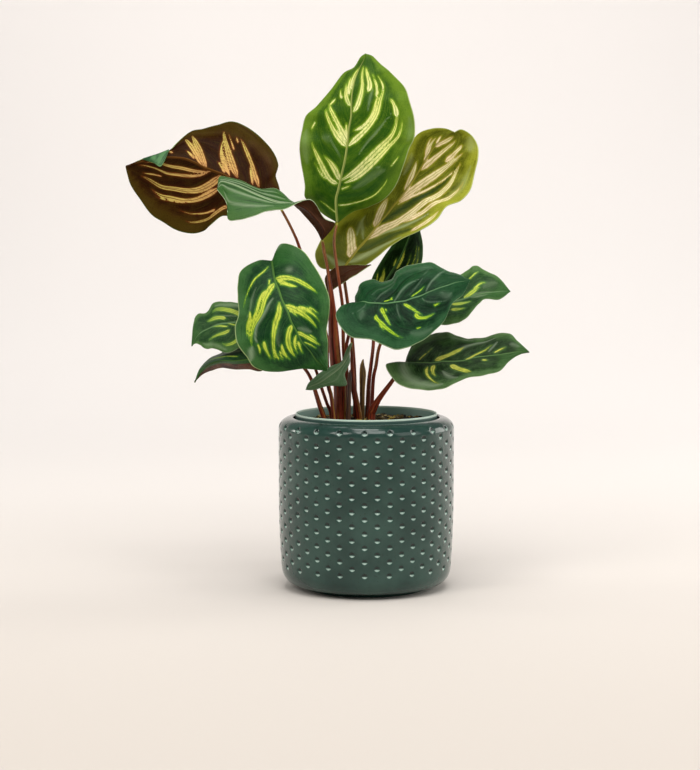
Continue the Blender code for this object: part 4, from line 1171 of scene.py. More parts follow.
    def build(self) -> bpy.types.Material:
        """Lay ground, streaks and midrib over one another.

        Returns:
            The material.
        """
        graph, look = self.graph, self.look
        colour = self.relief_colour(self.ground())
        outline = (self.edge - look.outline_width).ramp(0.5, -0.1)
        colour = graph.mix(outline * 0.6, colour, look.outline)
        colour = graph.mix(self.streaks(), colour, graph.mix(self.run, look.band, look.band_far))
        # Darker base again: partly the leaf's own colour, partly painted shadow
        colour = graph.mix(self.leaf_y.ramp(0.55, 0.2) * look.low * 0.45, colour, look.blotch)
        taper = 1.15 - self.leaf_y * 0.75
        rib = (abs(self.flat_x) / taper).ramp(0.13, 0.08) * self.leaf_y.ramp(1.02, 0.85)
        shaded = (self.flat_x / taper + 0.03).ramp(-0.03, 0.05)
        colour = graph.mix(rib * 0.9, colour, graph.mix(shaded * 0.5, look.rib, look.blotch))
        grain = graph.noise(self.flat, 9.0, 3.0)
        relief = self.fine * 0.3 + self.lines * 0.5 + grain * 0.2 - rib * 0.5
        return graph.finish(colour, look.roughness + (self.cloud - 0.5) * 0.2,
                            graph.bump(relief, 0.4), Specular_IOR_Level=look.sheen)


@dataclass(frozen=True)
class StemFinish:
    """Red-brown with olive streaks, paler near the blade and green-yellow where it joins."""

    dark: Colour = srgb(60, 16, 6)
    light: Colour = srgb(142, 58, 34)
    olive: Colour = srgb(168, 128, 54)
    upper: Colour = srgb(150, 122, 66)
    shade: Colour = srgb(44, 14, 3)
    spot: Colour = srgb(46, 14, 10)
    joint: Colour = srgb(150, 150, 58)

    def skin(self, name: str, form: BladeForm) -> bpy.types.Material:
        """Draw the stem's skin round and along the map Rod.

        Args:
            name: the leaf's name.
            form: the leaf, for its seed and its joint.

        Returns:
            The material.
        """
        graph = Graph(f"stem_{name}_skin")
        around, along = graph.map("Rod")
        across = (around * FULL_TURN).sin()
        depth = ((around + 0.25) * FULL_TURN).sin()
        ring = graph.join(across * 1.5, depth * 1.5, along * 3.0 + form.seed)
        streaks = graph.noise(ring, 1.6, 4.0, 0.6)
        wide = graph.noise(ring, 0.7, 2.0)
        spots = graph.noise(graph.join(around * 20.0, along * 60.0, form.seed), 1.0, 2.0)
        colour = graph.mix(streaks.ramp(0.36, 0.58), self.dark, self.light)
        colour = graph.mix(wide.ramp(0.52, 0.66) * along.ramp(0.7, 0.1) * 0.85, colour, self.olive)
        pale = along.ramp(0.55, 0.92) * streaks.ramp(0.4, 0.55)
        colour = graph.mix(pale * 0.6, colour, self.upper)
        colour = graph.mix(wide.ramp(0.46, 0.34) * 0.7, colour, self.shade)
        colour = graph.mix(spots.ramp(0.55, 0.7) * 0.35, colour, self.spot)
        joint = along.ramp(form.pulvinus, form.pulvinus + 0.03)
        return graph.finish(graph.mix(joint, colour, self.joint), 0.42, graph.bump(streaks, 0.25),
                            Specular_IOR_Level=0.2)


@dataclass
class Leaf:
    """Builds one blade and the stem that carries it.

    The blade has columns and rows of faces, the columns gathered towards the midrib. It is as
    thick as thickness, and midrib_depth more under the midrib, less towards the tip. Crests stand
    crest_height up, and a streak is measured at streak_points.
    """

    name: str
    form: BladeForm
    rows: int = 150
    columns: int = 76
    gathered: float = 1.12
    thickness: float = 0.55
    midrib_width: float = 1.1
    midrib_depth: float = 0.9
    crest_height: float = 0.5
    streak_points: int = 40
    lines: list[np.ndarray] = field(init=False)

    def __post_init__(self) -> None:
        """Take the left margin, the midrib and the right margin out of the rows."""
        self.lines = [np.array([row[side] for row in self.form.rows] + [self.form.tip], float)
                      for side in range(3)]

    def surface(self, across: np.ndarray, along: np.ndarray) -> tuple[np.ndarray, ...]:
        """Return the blade's points, its upward directions and its half widths.

        Args:
            across: -1 at the left margin, 0 on the midrib, 1 at the right margin.
            along: 0 at the base, 1 at the tip.

        Returns:
            Points, upward unit vectors and the half width at each point.
        """
        form = self.form
        left, middle, right = (smooth_line(line, along) for line in self.lines)
        step = 0.02
        ahead = (smooth_line(self.lines[1], np.minimum(along + step, 1.0))
                 - smooth_line(self.lines[1], np.maximum(along - step, 0.0)))
        upward = unit(np.cross(right - left, ahead))
        side = np.abs(across)[:, None]
        edge = np.where(across[:, None] < 0, left, right)
        reach = np.linalg.norm(edge - middle, axis=1)
        fade = np.sin(math.pi * np.clip(along, 0.0, 1.0))[:, None]
        lift = form.belly * 4.0 * side * (1.0 - side) * fade
        phase = np.where(across[:, None] < 0, 0.0, 1.3)
        wave = np.sin(FULL_TURN * form.waves * along[:, None] + phase)
        small = np.sin(FULL_TURN * 2.7 * form.waves * along[:, None] + 2.0 + phase)
        lift = lift + form.ripple * side ** 2 * fade * (wave + 0.25 * small)
        turn = form.folds * (vein_number(side, along[:, None]) - form.valley)
        bulge = np.abs(np.sin(math.pi * turn)) ** 0.8 - 0.6
        lift = lift + form.quilt * bulge * np.sin(math.pi * side ** 0.6) ** 0.8 * fade
        return middle + (edge - middle) * side + upward * lift, upward, reach

    def course(self, mark: Streak | Crest) -> tuple[np.ndarray, np.ndarray, np.ndarray]:
        """Follow a streak or crest over the blade.

        Args:
            mark: its numbers.

        Returns:
            Its points and their places across and along.
        """
        part = np.linspace(0.0, 1.0, self.streak_points)
        start, middle, end = (np.array(mark[index:index + 2]) for index in (0, 2, 4))
        bend = 2.0 * middle - 0.5 * (start + end)
        path = (np.outer((1.0 - part) ** 2, start) + np.outer(2.0 * part * (1.0 - part), bend)
                + np.outer(part ** 2, end))
        line, _, _ = self.surface(path[:, 0], path[:, 1])
        return line, path[:, 0], path[:, 1]

    def nearest(self, points: np.ndarray, line: np.ndarray, half: np.ndarray) -> tuple:
        """Find how points lie to a curve.

        Args:
            points: the points.
            line: the curve's points.
            half: its half width at each of them.

        Returns:
            For each point the distance outside the outline, the distance to the curve, the
            index of the nearest point on it and the exact place along it, from 0 to 1.
        """
        ahead = np.gradient(line, axis=0)
        step = np.maximum(np.linalg.norm(ahead, axis=1), 1e-6)
        ahead = ahead / step[:, None]
        apart = points[:, None, :] - line[None, :, :]
        slide = np.clip((apart * ahead[None, :, :]).sum(axis=2), -0.5 * step, 0.5 * step)
        away = np.linalg.norm(apart - slide[:, :, None] * ahead[None, :, :], axis=2)
        best = np.argmin(away - half[None, :], axis=1)
        rows = np.arange(len(points))
        place = (best + slide[rows, best] / step[best]) / (len(line) - 1)
        return away[rows, best] - half[best], away[rows, best], best, np.clip(place, 0.0, 1.0)

    def marks(self, points: np.ndarray, across: np.ndarray, along: np.ndarray) -> np.ndarray:
        """Measure how each vertex lies to the streaks.

        Args:
            points: the vertices.
            across: their place across, -1 to 1.
            along: their place along, 0 to 1.

        Returns:
            For each vertex the distance outside the nearest streak's outline in centimetres
            (negative inside), its place along that streak, its place across it counted in
            strands, a number for the streak, and how much nearer it is than the next streak.
        """
        none_near = 5.0
        found = np.tile(np.array([none_near, 0.0, 0.5, 0.0]), (len(points), 1))
        second = np.full(len(points), none_near)
        part = np.linspace(0.0, 1.0, self.streak_points)
        for number, mark in enumerate(self.form.streaks):
            line, sides, places = self.course(mark)
            half = 0.46 * mark[6] * (1.0 - part ** 3) ** 0.7 * np.minimum(1.0, 0.4 + 5.0 * part) \
                * (0.9 + 0.12 * np.cos(2.4 * math.pi * part + number))
            outside, away, best, place = self.nearest(points, line, half)
            outside = np.where(across * np.sign(mark[2]) > -0.02, outside / CM, none_near)
            turn = (np.gradient(sides)[best] * (along - places[best])
                    - np.gradient(places)[best] * (across - sides[best]))
            share = 0.5 + 0.5 * np.sign(turn) * away / np.maximum(half[best], 0.3)
            new = np.stack([outside, place, share * mark[7], np.full(len(points), number)], axis=1)
            nearer = outside < found[:, 0]
            second = np.where(nearer, found[:, 0], np.minimum(second, outside))
            found[nearer] = new[nearer]
        return np.column_stack([found, second - found[:, 0]])

    def crests(self, points: np.ndarray) -> np.ndarray:
        """Measure how each vertex lies to the crests of painted sheen and the folds of painted
        shade.

        Args:
            points: the vertices.

        Returns:
            Up to 1 on a crest of painted sheen, down to -1 in a fold of painted shade.
        """
        strength = np.zeros(len(points))
        part = np.linspace(0.0, 1.0, self.streak_points)
        for mark in self.form.pale:
            line, _, _ = self.course(mark)
            half = 0.5 * mark[6] * np.sin(math.pi * (0.1 + 0.85 * part))
            _, away, best, _ = self.nearest(points, line, half)
            value = mark[7] * np.exp(-(away / np.maximum(half[best], 0.2)) ** 2)
            strength = np.where(np.abs(value) > np.abs(strength), value, strength)
        return strength

    def blade(self) -> bpy.types.Object:
        """Model the blade: upper face, underside with its raised midrib, and a thin edge.

        Returns:
            The new object.
        """
        detail = self.form.detail
        shape, sideways, along = grid(int(self.columns * detail), int(self.rows * detail))
        signed = 2.0 * sideways - 1.0
        across = np.sign(signed) * np.abs(signed) ** self.gathered
        points, upward, reach = self.surface(across, along)
        steps = np.linspace(0.0, 1.0, 200)
        spine = np.diff(smooth_line(self.lines[1], steps), axis=0)
        lengths = np.concatenate([[0.0], np.cumsum(np.linalg.norm(spine, axis=1))])
        run = np.interp(along, steps, lengths)
        marks = self.marks(points, across, along)
        crests = self.crests(points)
        place_vertices(shape, points + upward * (self.crest_height * crests)[:, None])
        write_maps(shape, {
            "Leaf": np.stack([0.5 + 0.5 * across, run / lengths[-1]], axis=1),
            "Flat": np.stack([across * reach, run], axis=1) / CM,
            "Marks": marks[:, :2],
            "Strands": marks[:, 2:4],
            "Crests": np.stack([crests, marks[:, 4]], axis=1),
        })
        full = self.thickness + self.midrib_depth
        from_rib = np.abs(across) * reach / (0.5 * self.midrib_width)
        rib = np.exp(-from_rib ** 2) * (1.0 - 0.75 * along)
        weight = shape.verts.layers.deform.verify()
        for vertex, part in zip(shape.verts, (self.thickness + self.midrib_depth * rib) / full):
            vertex[weight][0] = float(part)
        bmesh.ops.remove_doubles(shape, verts=shape.verts, dist=2.0 * MERGE * MM)
        skins = [LeafSkin(f"{self.name}_upper", self.form, self.form.upper).build(),
                 LeafSkin(f"{self.name}_under", self.form, self.form.under).build()]
        piece = close_piece(f"blade_{self.name}", shape, skins, self.form.slot,
                            (f"leaf_{self.name}",))
        piece.vertex_groups.new(name="Thickness")
        shell = piece.modifiers.new("Thickness", "SOLIDIFY")
        shell.thickness = full * MM
        shell.offset = -1.0
        shell.vertex_group = "Thickness"
        shell.material_offset = 1
        shell.material_offset_rim = 0
        return piece

    def stem(self) -> bpy.types.Object:
        """Model the stem, from below the soil to the base of the blade.

        Returns:
            The new object.
        """
        path = np.array(self.form.stem, float)
        base = np.array(self.form.rows[0][1], float)
        end = base + unit(path[-1, :3] - base) * 0.3
        path = np.vstack([path, [*end, 1.0]])
        return Rod(f"stalk_{self.name}", path, ridges=0.06).build(
            StemFinish().skin(self.name, self.form), Slot.STEM, f"stem_{self.name}")


@dataclass
class CurledMargin:
    """The part of upper_left's margin that folds over, so that the leaf's upper face shows."""

    name: str = "curled_margin"
    crease: tuple[Point, ...] = (
        (-177, 4.6, 342.4), (-171, 4.2, 344.3), (-165, 4.4, 346.2), (-156.6, 7.0, 349.6))
    free_edge: tuple[Point, ...] = (
        (-176.5, 3.4, 341.6), (-167.5, -2.0, 338.6), (-161.8, -3.0, 336.4), (-156.4, 5.0, 348.6))
    bulge: float = 1.6
    thickness: float = 0.4
    dark: Colour = srgb(26, 70, 34)
    light: Colour = srgb(72, 118, 70)
    shade: Colour = srgb(28, 64, 30)
    rim: Colour = srgb(120, 160, 96)

    def build(self) -> bpy.types.Object:
        """Model it as a thin bent sheet between its crease and its free edge.

        Returns:
            The new object.
        """
        shape, along, out = grid(40, 18)
        crease = smooth_line(np.array(self.crease, float), along)
        edge = smooth_line(np.array(self.free_edge, float), along)
        points = crease + (edge - crease) * out[:, None]
        points[:, 1] -= self.bulge * np.sin(math.pi * out ** 0.7) * np.sin(math.pi * along) ** 0.5
        points[:, 1] -= 0.3 * np.sin(6.0 * along + 3.0 * out) * out
        place_vertices(shape, points)
        write_maps(shape, {"Rod": np.stack([along, out], axis=1)})
        join_seams(shape)
        piece = close_piece(self.name, shape, [self.skin()], Slot.GREEN)
        shell = piece.modifiers.new("Thickness", "SOLIDIFY")
        shell.thickness = self.thickness * MM
        shell.offset = 0.0
        return piece

    def skin(self) -> bpy.types.Material:
        """Draw blue-green with pale lines across the fold and a pale rim.

        Returns:
            The material.
        """
        graph = Graph(f"{self.name}_skin")
        along, out = graph.map("Rod")
        lines = graph.noise(graph.join(along * 4.0 + out * 1.5, out * 1.5, 1.0), 1.0, 3.0)
        colour = graph.mix(lines.ramp(0.4, 0.62), self.dark, self.light)
        colour = graph.mix(along.ramp(0.45, 0.05) * 0.5, colour, self.shade)
        colour = graph.mix(out.ramp(0.9, 0.97) * 0.6, colour, self.rim)
        return graph.finish(colour, 0.45, graph.bump(lines, 0.2), Specular_IOR_Level=0.2)


@dataclass
class Shoot:
    """New growth that stands between the stems."""

    name: str
    path: tuple[StemPoint, ...]
    light: Colour
    dark: Colour
    base: Colour = srgb(60, 26, 18)

    def build(self) -> bpy.types.Object:
        """Model it as a tapered rod with deep ridges."""
        return Rod(f"shoot_{self.name}", np.array(self.path, float), ridges=0.1).build(
            self.skin(), Slot.SHOOT, self.name)

    def skin(self) -> bpy.types.Material:
        """Draw olive-brown with lengthwise streaks, darker at its base.

        Returns:
            The material.
        """
        graph = Graph(f"{self.name}_skin")
        around, along = graph.map("Rod")
        streaks = graph.noise(graph.join(around * 7.0, along * 2.0, 2.0), 1.0, 3.0)
        colour = graph.mix(streaks.ramp(0.4, 0.6), self.dark, self.light)
        colour = graph.mix(along.ramp(0.5, 0.1) * 0.6, colour, self.base)
        return graph.finish(colour, 0.48, graph.bump(streaks, 0.3))


SHOOTS = (
    Shoot("rolled_leaf",
          ((-3, 4.5, 118, 1.8), (-3, 4, 143, 1.9), (-3, 4, 158, 2.1), (-2.6, 4, 171, 2.6),
           (-3, 4, 178, 1.7), (-2.4, 4, 183, 0.4)),
          light=srgb(150, 118, 44), dark=srgb(86, 60, 24)),
    Shoot("bract",
          ((-14, -12, 118, 1.8), (-14, -12, 140, 1.8), (-13.6, -12, 160, 1.7),
           (-13.2, -12, 170, 1.5), (-12.8, -12, 176, 0.4)),
          light=srgb(96, 62, 34), dark=srgb(44, 22, 16)),
)


# Pots and soil


# The gap between pieces that touch
GAP = 0.3


@dataclass(frozen=True)
class GlazeFinish:
    """Dark teal glaze, with painted shade high in each dimple and a painted highlight low in it."""

    dark: Colour = srgb(27, 55, 49)
    light: Colour = srgb(45, 74, 66)
    speck: Colour = srgb(24, 44, 38)
    # Painted shade in the upper half of each dimple
    painted_pit_shade: Colour = srgb(8, 22, 20)
    # thin: painted highlight in the lower half of each dimple
    thin: Colour = srgb(168, 196, 184)

    def skin(self) -> bpy.types.Material:
        """Draw the glaze over the map Dimple (how deep, how high in the dimple).

        Returns:
            The material.
        """
        graph = Graph("teal_glaze_coat")
        place = graph.place()
        bowl, level = graph.map("Dimple")
        clouds = graph.noise(place, 28.0, 4.0, 0.55)
        fine = graph.noise(place, 900.0, 2.0)
        specks = graph.noise(place, 420.0, 1.0).ramp(0.66, 0.74)
        colour = graph.mix(clouds.ramp(0.3, 0.7), self.dark, self.light)
        colour = graph.mix(specks * 0.4, colour, self.speck)
        # Painted shade in the upper half of each dimple, where the wall faces down
        painted_pit_shade = bowl.ramp(0.05, 0.4) * level.ramp(-0.25, 0.3)
        colour = graph.mix(painted_pit_shade * 0.8, colour, self.painted_pit_shade)
        # Painted highlight in the lower half of each dimple, standing in for the glint of the
        # lights above
        thin = bowl.ramp(0.06, 0.3) * level.ramp(-0.12, -0.42)
        colour = graph.mix(thin * 0.75, colour, self.thin)
        relief = graph.bump(fine * 0.06 + clouds * 0.94, 0.3)
        return graph.finish(colour, 0.17 + (clouds - 0.5) * 0.08, relief, Coat_Weight=0.22,
                            Coat_Roughness=0.05, Specular_IOR_Level=0.32)


@dataclass(frozen=True)
class PlasticFinish:
    """Grey-green plastic with faint turning lines, with painted light that makes the inside lighter
    and a painted highlight along the rim.
    """

    dark: Colour = srgb(48, 78, 72)
    light: Colour = srgb(62, 94, 88)
    # Painted light: lighter copies of the plastic for the inside
    painted_lit_inside_dark: Colour = srgb(110, 150, 140)
    painted_lit_inside_light: Colour = srgb(134, 172, 160)
    # rim: painted highlight along the top of the rim
    rim: Colour = srgb(180, 204, 190)

    def skin(self, inner_radius: float, top: float) -> bpy.types.Material:
        """Draw the plastic.

        Args:
            inner_radius: within this radius the inside is painted lighter, as painted light.
            top: the rim's height.

        Returns:
            The material.
        """
        graph = Graph("grow_pot_plastic")
        place = graph.place()
        x, y, height = graph.split(place)
        inside = (x * x + y * y) ** 0.5 < inner_radius * MM
        clouds = graph.noise(place, 45.0, 3.0)
        # Painted highlight along the top of the rim
        rim = height.ramp((top - 1.6) * MM, (top - 1.1) * MM)
        lines = (height * 9000.0).sin() * 0.5 + 0.5
        colour = graph.mix(clouds, self.dark, self.light)
        # Painted light: the inside in lighter copies of the plastic
        painted_lit_inside = graph.mix(clouds, self.painted_lit_inside_dark, self.painted_lit_inside_light)
        colour = graph.mix(inside * 0.9, colour, painted_lit_inside)
        colour = graph.mix(rim, colour, self.rim)
        return graph.finish(colour, 0.45 + (clouds - 0.5) * 0.2, graph.bump(lines, 0.02))


@dataclass(frozen=True)
class EarthFinish:
    """Dark damp earth."""

    dark: Colour = srgb(26, 18, 12)
    light: Colour = srgb(74, 52, 30)

    def skin(self) -> bpy.types.Material:
        """Draw the earth.

        Returns:
            The material.
        """
        graph = Graph("earth")
        lumps = graph.noise(graph.place(), 700.0, 5.0, 0.7)
        colour = graph.mix(lumps.ramp(0.35, 0.65), self.dark, self.light)
        return graph.finish(colour, 0.95, graph.bump(lumps, 0.8))


@dataclass(frozen=True)
class GrainFinish:
    """Grains from near black through brown to ochre and pale grit."""

    black: Colour = srgb(22, 18, 8)
    brown: Colour = srgb(92, 76, 30)
    ochre: Colour = srgb(190, 166, 70)
    grit: Colour = srgb(206, 190, 140)
    shade: Colour = srgb(34, 30, 12)

    def skin(self) -> bpy.types.Material:
        """Draw each grain in the tone that its map Grain gives.

        Returns:
            The material.
        """
        graph = Graph("grain")
        tone, _ = graph.map("Grain")
        rough = graph.noise(graph.place(), 1500.0, 3.0)
        colour = graph.mix(tone.ramp(0.1, 0.5), self.black, self.brown)
        colour = graph.mix(tone.ramp(0.6, 0.8), colour, self.ochre)
        colour = graph.mix(tone.ramp(0.93, 0.97), colour, self.grit)
        colour = graph.mix(rough * 0.4, colour, self.shade)
        return graph.finish(colour, 0.9, graph.bump(rough, 0.3))


@dataclass
class OuterPot:
    """Builds the glazed pot with its staggered rows of dimples, in the CAD's sizes.

    Cells are the rows of dimples, from lowest to highest. Bunched draws the mesh together at the
    middle of each dimple, and off_axis turns the pattern.
    """

    radius: float = 70.0
    foot_radius: float = 49.0
    foot_height: float = 3.5
    corner: float = 12.0
    top: float = 137.5
    shoulder: float = 128.5
    shoulder_drop: float = 11.5
    lip_radius: float = 58.5
    wall: float = 6.0
    floor: float = 10.0
    narrowing: float = 2.0
    columns: int = 44
    cells: int = 21
    lowest: float = 20.3
    highest: float = 131.5
    dimple_radius: float = 2.5
    dimple_depth: float = 1.4
    bunched: float = 1.3
    crown_width: float = 5.0
    off_axis: float = math.radians(1.5)
    cell: float = field(init=False)

    def __post_init__(self) -> None:
        """Work out the height of one row of dimples."""
        self.cell = (self.highest - self.lowest) / (self.cells - 1)

    def wall_radius(self, height: np.ndarray) -> np.ndarray:
        """Work out the radius of the wall, as the CAD has it.

        Args:
            height: one or more heights.

        Returns:
            The radius at each of them.
        """
        middle = 0.5 * (self.lowest + self.highest)
        low = np.maximum(0.0, (middle - height) / (middle - self.lowest))
        rise = np.clip((height - self.shoulder) / (self.top - self.shoulder), 0.0, 1.0)
        return self.radius - self.narrowing * low ** 2 \
            - self.shoulder_drop * (1.0 - np.sqrt(1.0 - rise ** 2))

    def profile(self) -> list[tuple[float, float]]:
        """Draw the profile, down the outside and up the inside.

        Returns:
            Its points as (radius, height).
        """
        lip, top, floor, foot = self.lip_radius, self.top, self.floor, self.foot_radius
        points = [(lip, top - 5.0), (lip, top - 1.0), (lip + 0.3, top - 0.3),
                  (lip + 1.0, top - 0.05)]
        low = self.lowest - 0.5 * self.cell
        wall = np.linspace(self.highest + 0.5 * self.cell, low, self.cells * 8 + 1)
        heights = np.concatenate([top - np.array([0.1, 0.4, 0.8, 1.5, 2.3]), wall])
        points += zip(self.wall_radius(heights), heights)
        for turn in np.radians(range(8, 91, 8)):
            points.append((self.wall_radius(low) - self.corner * (1.0 - math.cos(turn)),
                           low - (low - self.foot_height) * math.sin(turn)))
        inner = self.radius - self.wall
        return points + [
            (foot + 3.0, self.foot_height), (foot, self.foot_height - 0.6), (foot, 0.5),
            (foot - 0.5, 0.0), (foot * 0.5, 0.0), (0.0, 0.0), (0.0, floor), (inner - 6.0, floor),
            (inner - 2.0, floor + 1.8), (inner, floor + 6.0), (inner, 60.0), (inner, top - 12.0),
            (lip + 3.0, top - 6.5), (lip, top - 5.0)]

    def build(self) -> bpy.types.Object:
        """Turn the profile and press the dimples into the wall, in every second place.

        Returns:
            The new object.
        """
        shape, found = turned(self.profile(), self.columns * 10)
        radius = np.hypot(found[:, 0], found[:, 1])
        height = found[:, 2]
        around = np.arctan2(found[:, 1], found[:, 0]) / FULL_TURN % 1.0 * self.columns
        column = np.floor(around + 1e-6)
        across = around - column - 0.5
        across = 0.5 * np.sign(across) * (2.0 * np.abs(across)) ** self.bunched
        step = FULL_TURN / self.columns
        angle = (column + across + 1.0) * step - self.off_axis
        row_place = (height - self.lowest) / self.cell
        row = np.rint(row_place)
        upward = (row_place - row) * self.cell
        away = np.hypot(across * step * self.radius, upward) / self.dimple_radius
        on_wall = (row >= 0) & (row < self.cells) & (radius > self.radius - self.crown_width)
        pressed = on_wall & ((row + column) % 2 == 0)
        bowl = np.where(pressed, np.clip(1.0 - away ** 2, 0.0, 1.0) ** 1.5, 0.0)
        radius = radius - self.dimple_depth * bowl
        moved = np.stack([radius * np.cos(angle), radius * np.sin(angle), height], axis=1)
        place_vertices(shape, moved)
        write_maps(shape, {"Dimple": np.stack([bowl, upward / self.dimple_radius], axis=1)})
        return close_piece("glazed_pot", shape, [GlazeFinish().skin()], Slot.GLAZE, ("outer_pot",))


@dataclass
class InnerPot:
    """Builds the thin grow pot that stands in the outer one."""

    top_radius: float = 56.5
    bottom_radius: float = 52.0
    top: float = 140.5
    wall: float = 1.2
    band: float = 5.0
    step_in: float = 0.3
    step_down: float = 0.4
    bottom: float = OuterPot.floor + GAP

    def build(self) -> bpy.types.Object:
        """Turn its profile, with a rounded rim and a step below the band.

        Returns:
            The new object.
        """
        inside = self.top_radius - self.wall
        band = self.top - self.band
        lip = self.wall * 0.5
        points = [(inside, band)]
        for turn in np.radians(range(180, -1, -20)):
            points.append((self.top_radius - lip + lip * math.cos(turn),
                           self.top - lip + lip * math.sin(turn)))
        points.append((self.top_radius, band))
        start, high = self.top_radius - self.step_in, band - self.step_down
        for part in np.linspace(0.0, 1.0, 21):
            points.append((start + (self.bottom_radius - start) * part,
                           high + (self.bottom - high) * part))
        floor = self.bottom + self.wall
        points += [(0.0, self.bottom), (0.0, floor), (self.bottom_radius - self.wall, floor),
                   (inside, band)]
        shape, _ = turned(points, 160)
        skin = PlasticFinish().skin(self.top_radius - self.wall * 0.6, self.top)
        return close_piece("grow_pot", shape, [skin], Slot.LINER, ("inner_pot",))


@dataclass
class Soil:
    """Builds the soil and the loose grains on it."""

    top: float = 133.0
    mound: float = 1.5
    mound_reach: float = 55.0
    heap: float = 1.8
    heap_place: tuple[float, float] = (30.0, 6.0)
    heap_spread: float = 340.0
    lumps: float = 0.45
    settled: float = 0.4
    clearance: float = 0.35
    grains: int = 1000
    kept_clear: float = 1.8
    shares: tuple[tuple[float, float], ...] = ((0.8, 1.7), (0.7, 1.2), (0.5, 0.9))
    seed: int = 41

    def height(self, x: np.ndarray, y: np.ndarray) -> np.ndarray:
        """Work out the soil's lumpy top, which has a heap at the right.

        Args:
            x, y: one or more places.

        Returns:
            The height at each of them.
        """
        mound = self.mound * (1.0 - np.clip(np.hypot(x, y) / self.mound_reach, 0.0, 1.0) ** 2)
        heap_x, heap_y = self.heap_place
        heap = self.heap * np.exp(-((x - heap_x) ** 2 + (y - heap_y) ** 2) / self.heap_spread)
        lumps = (np.sin(x * 0.61 + 1.3) * np.sin(y * 0.53 + 0.4)
                 + 0.6 * np.sin(x * 1.37 + y * 0.9) * np.sin(y * 1.21 - 0.8 * x)
                 + 0.4 * np.sin(x * 2.9 - 1.1 * y) * np.sin(y * 2.6 + 0.7 * x))
        return self.top + mound + heap + self.lumps * lumps - self.settled

    def build(self) -> None:
        """Model the body of the soil, then scatter the grains."""
        liner = InnerPot()
        bottom = liner.bottom + liner.wall + GAP
        high = liner.top_radius - liner.wall - self.clearance
        low = liner.bottom_radius - liner.wall - self.clearance
        rim = low + (high - low) * self.top / (liner.top - liner.band)
        profile = [(rim * ring / 60.0, self.top) for ring in range(61)]
        profile += [(rim + (low - rim) * part, self.top + (bottom - self.top) * part)
                    for part in np.linspace(0.16, 1.0, 6)]
        profile += [(low * part, bottom) for part in (0.75, 0.5, 0.25, 0.0)]
        shape, points = turned(profile, 160)
        crown = self.height(points[:, 0], points[:, 1])
        share = (points[:, 2] - bottom) / (self.top - bottom)
        points[:, 2] = bottom + (crown - bottom) * share
        place_vertices(shape, points)
        close_piece("soil_body", shape, [EarthFinish().skin()], Slot.SOIL, ("soil",))
        self.scatter(rim - self.kept_clear)

    def scatter(self, reach: float) -> bpy.types.Object:
        """Strew loose grains of bark, earth and pale grit over the top.

        Args:
            reach: how far from the axis they lie.

        Returns:
            All the grains as one object.
        """
        draw = np.random.default_rng(self.seed)
        shape = bmesh.new()
        layer = shape.loops.layers.uv.new("Grain")
        for _ in range(self.grains):
            away = reach * math.sqrt(draw.random())
            angle = draw.random() * FULL_TURN
            x, y = away * math.cos(angle), away * math.sin(angle)
            size = 0.5 + 1.8 * draw.random() ** 2
            stretch = Vector([size * draw.uniform(*share) for share in self.shares])
            spin = Matrix.Rotation(draw.random() * math.pi, 3, "Z")
            lift = (0.1 + 0.7 * draw.random() ** 2) * size
            centre = Vector((x, y, self.height(x, y) + lift))
            tone = draw.random()
            made = bmesh.ops.create_icosphere(shape, subdivisions=1, radius=1.0)["verts"]
            for vertex in made:
                lump = vertex.co * float(draw.uniform(0.75, 1.15))
                vertex.co = (centre + spin @ (lump * stretch)) * MM
            for face in {face for vertex in made for face in vertex.link_faces}:
                for loop in face.loops:
                    loop[layer].uv = (tone, 0.5)
        return close_piece("soil_grains", shape, [GrainFinish().skin()], Slot.SOIL, smooth=False)


# Setting


@dataclass(frozen=True)
class Lamp:
    """A soft square light that faces a point, in metres and watts."""

    name: str
    place: Point
    aim: Point
    size: float
    power: float
    colour: Colour

    def build(self) -> None:
        """Add the light to the scene."""
        lamp = bpy.data.lights.new(self.name, "AREA")
        lamp.size = self.size
        lamp.energy = self.power
        lamp.color = self.colour
        holder = bpy.data.objects.new(self.name, lamp)
        holder.location = self.place
        toward = Vector(self.aim) - Vector(self.place)
        holder.rotation_euler = toward.to_track_quat("-Z", "Y").to_euler()
        bpy.context.scene.collection.objects.link(holder)


PLANT = (0.0, 0.0, 0.2)
POT = (0.0, 0.0, 0.1)
WARM = (1.0, 0.98, 0.95)
LAMPS = (
    Lamp("key", (-1.2, -1.5, 1.6), PLANT, 0.9, 15.0, (1.0, 0.96, 0.9)),
    Lamp("fill", (1.6, -1.0, 0.9), PLANT, 1.2, 8.0, (1.0, 0.98, 0.94)),
    Lamp("front", (0.15, -1.25, 1.9), (0.0, 0.0, 0.15), 1.2, 25.0, WARM),
    Lamp("top", (0.0, -0.12, 1.6), PLANT, 0.5, 5.0, WARM),
    Lamp("right side", (1.4, 0.5, 0.5), POT, 0.8, 8.0, (1.0, 0.98, 0.93)),
    Lamp("left side", (-1.4, 0.4, 0.4), POT, 0.3, 3.0, (1.0, 1.0, 0.93)),
    Lamp("backdrop", (0.0, 0.9, 2.6), (0.0, 2.2, 0.9), 1.6, 19.0, (1.0, 0.97, 0.955)),
)


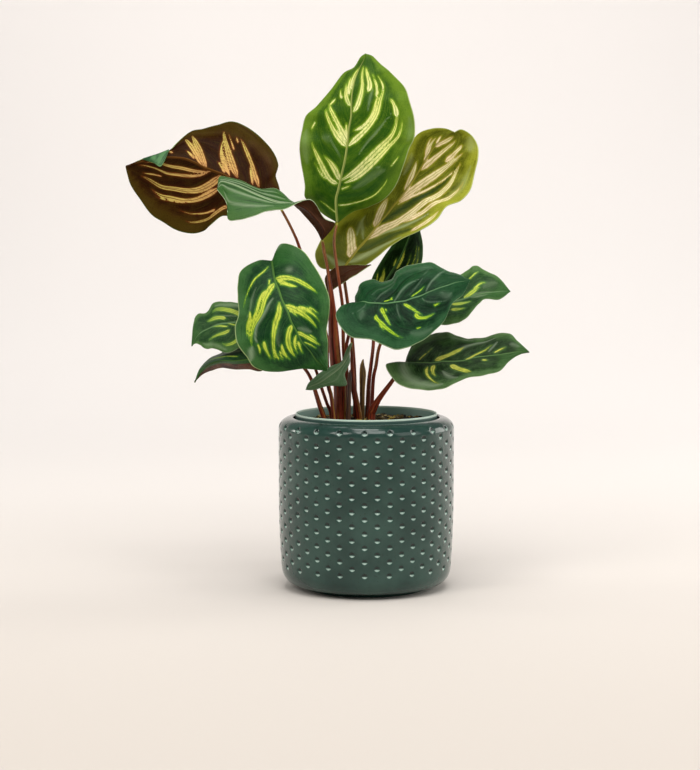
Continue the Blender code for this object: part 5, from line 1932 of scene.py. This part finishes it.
@dataclass(frozen=True)
class Setting:
    """The camera, the plain floor and the light all round, in metres."""

    eye: Point = (-0.013, -1.7, 0.32)
    pitch_down: float = math.radians(5.29)
    field_of_view: float = math.radians(20.4)
    sensor: float = 36.0
    floor_width: float = 8.0
    floor_length: float = 6.0
    floor_front: float = -3.0
    bend_from: float = 1.0
    bend: float = 1.2
    near: Colour = srgb(206, 198, 190)
    far: Colour = srgb(253, 249, 247)
    air: Colour = (1.0, 0.97, 0.94)
    air_strength: float = 0.24

    def camera(self) -> None:
        """Place the camera as the photo was taken."""
        lens = bpy.data.cameras.new("camera")
        lens.sensor_fit = "VERTICAL"
        lens.sensor_height = self.sensor
        lens.lens = 0.5 * self.sensor / math.tan(0.5 * self.field_of_view)
        eye = bpy.data.objects.new("camera", lens)
        eye.location = self.eye
        eye.rotation_euler = (0.5 * math.pi - self.pitch_down, 0.0, 0.0)
        bpy.context.scene.collection.objects.link(eye)
        bpy.context.scene.camera = eye

    def floor(self) -> None:
        """Lay a pale floor that sweeps up into a backdrop."""
        shape, across, along = grid(2, 60)
        reach = along * self.floor_length + self.floor_front
        past = np.maximum(reach - self.bend_from, 0.0)
        turn = np.minimum(past / self.bend, 0.5 * math.pi)
        x = (across - 0.5) * self.floor_width
        y = np.minimum(reach, self.bend_from) + self.bend * np.sin(turn)
        z = self.bend * (1.0 - np.cos(turn)) + np.maximum(past - 0.5 * math.pi * self.bend, 0.0)
        place_vertices(shape, np.stack([x, y, z], axis=1) / MM)
        sheet = new_object("floor", shape)
        graph = Graph("pale_floor")
        place = graph.place()
        _, reach_back, _ = graph.split(place)
        colour = graph.mix(reach_back.ramp(-0.9, 1.4), self.near, self.far)
        colour = graph.mix(graph.noise(place, 1.5, 2.0) * 0.1, colour, self.near)
        sheet.data.materials.append(graph.finish(colour, 0.8))

    def lights(self) -> None:
        """Light the object from the upper left and the front, and faintly all round."""
        for lamp in LAMPS:
            lamp.build()
        world = bpy.data.worlds.new("studio")
        world.use_nodes = True
        sky = world.node_tree.nodes["Background"]
        sky.inputs["Color"].default_value = (*self.air, 1.0)
        sky.inputs["Strength"].default_value = self.air_strength
        bpy.context.scene.world = world


def main() -> None:
    """Build the setting and every piece."""
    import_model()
    bpy.context.scene.view_settings.view_transform = "Standard"
    setting = Setting()
    setting.camera()
    setting.floor()
    setting.lights()
    OuterPot().build()
    InnerPot().build()
    Soil().build()
    for name, form in LEAVES.items():
        leaf = Leaf(name, form)
        leaf.blade()
        leaf.stem()
    CurledMargin().build()
    for shoot in SHOOTS:
        shoot.build()


if __name__ == "__main__":
    main()
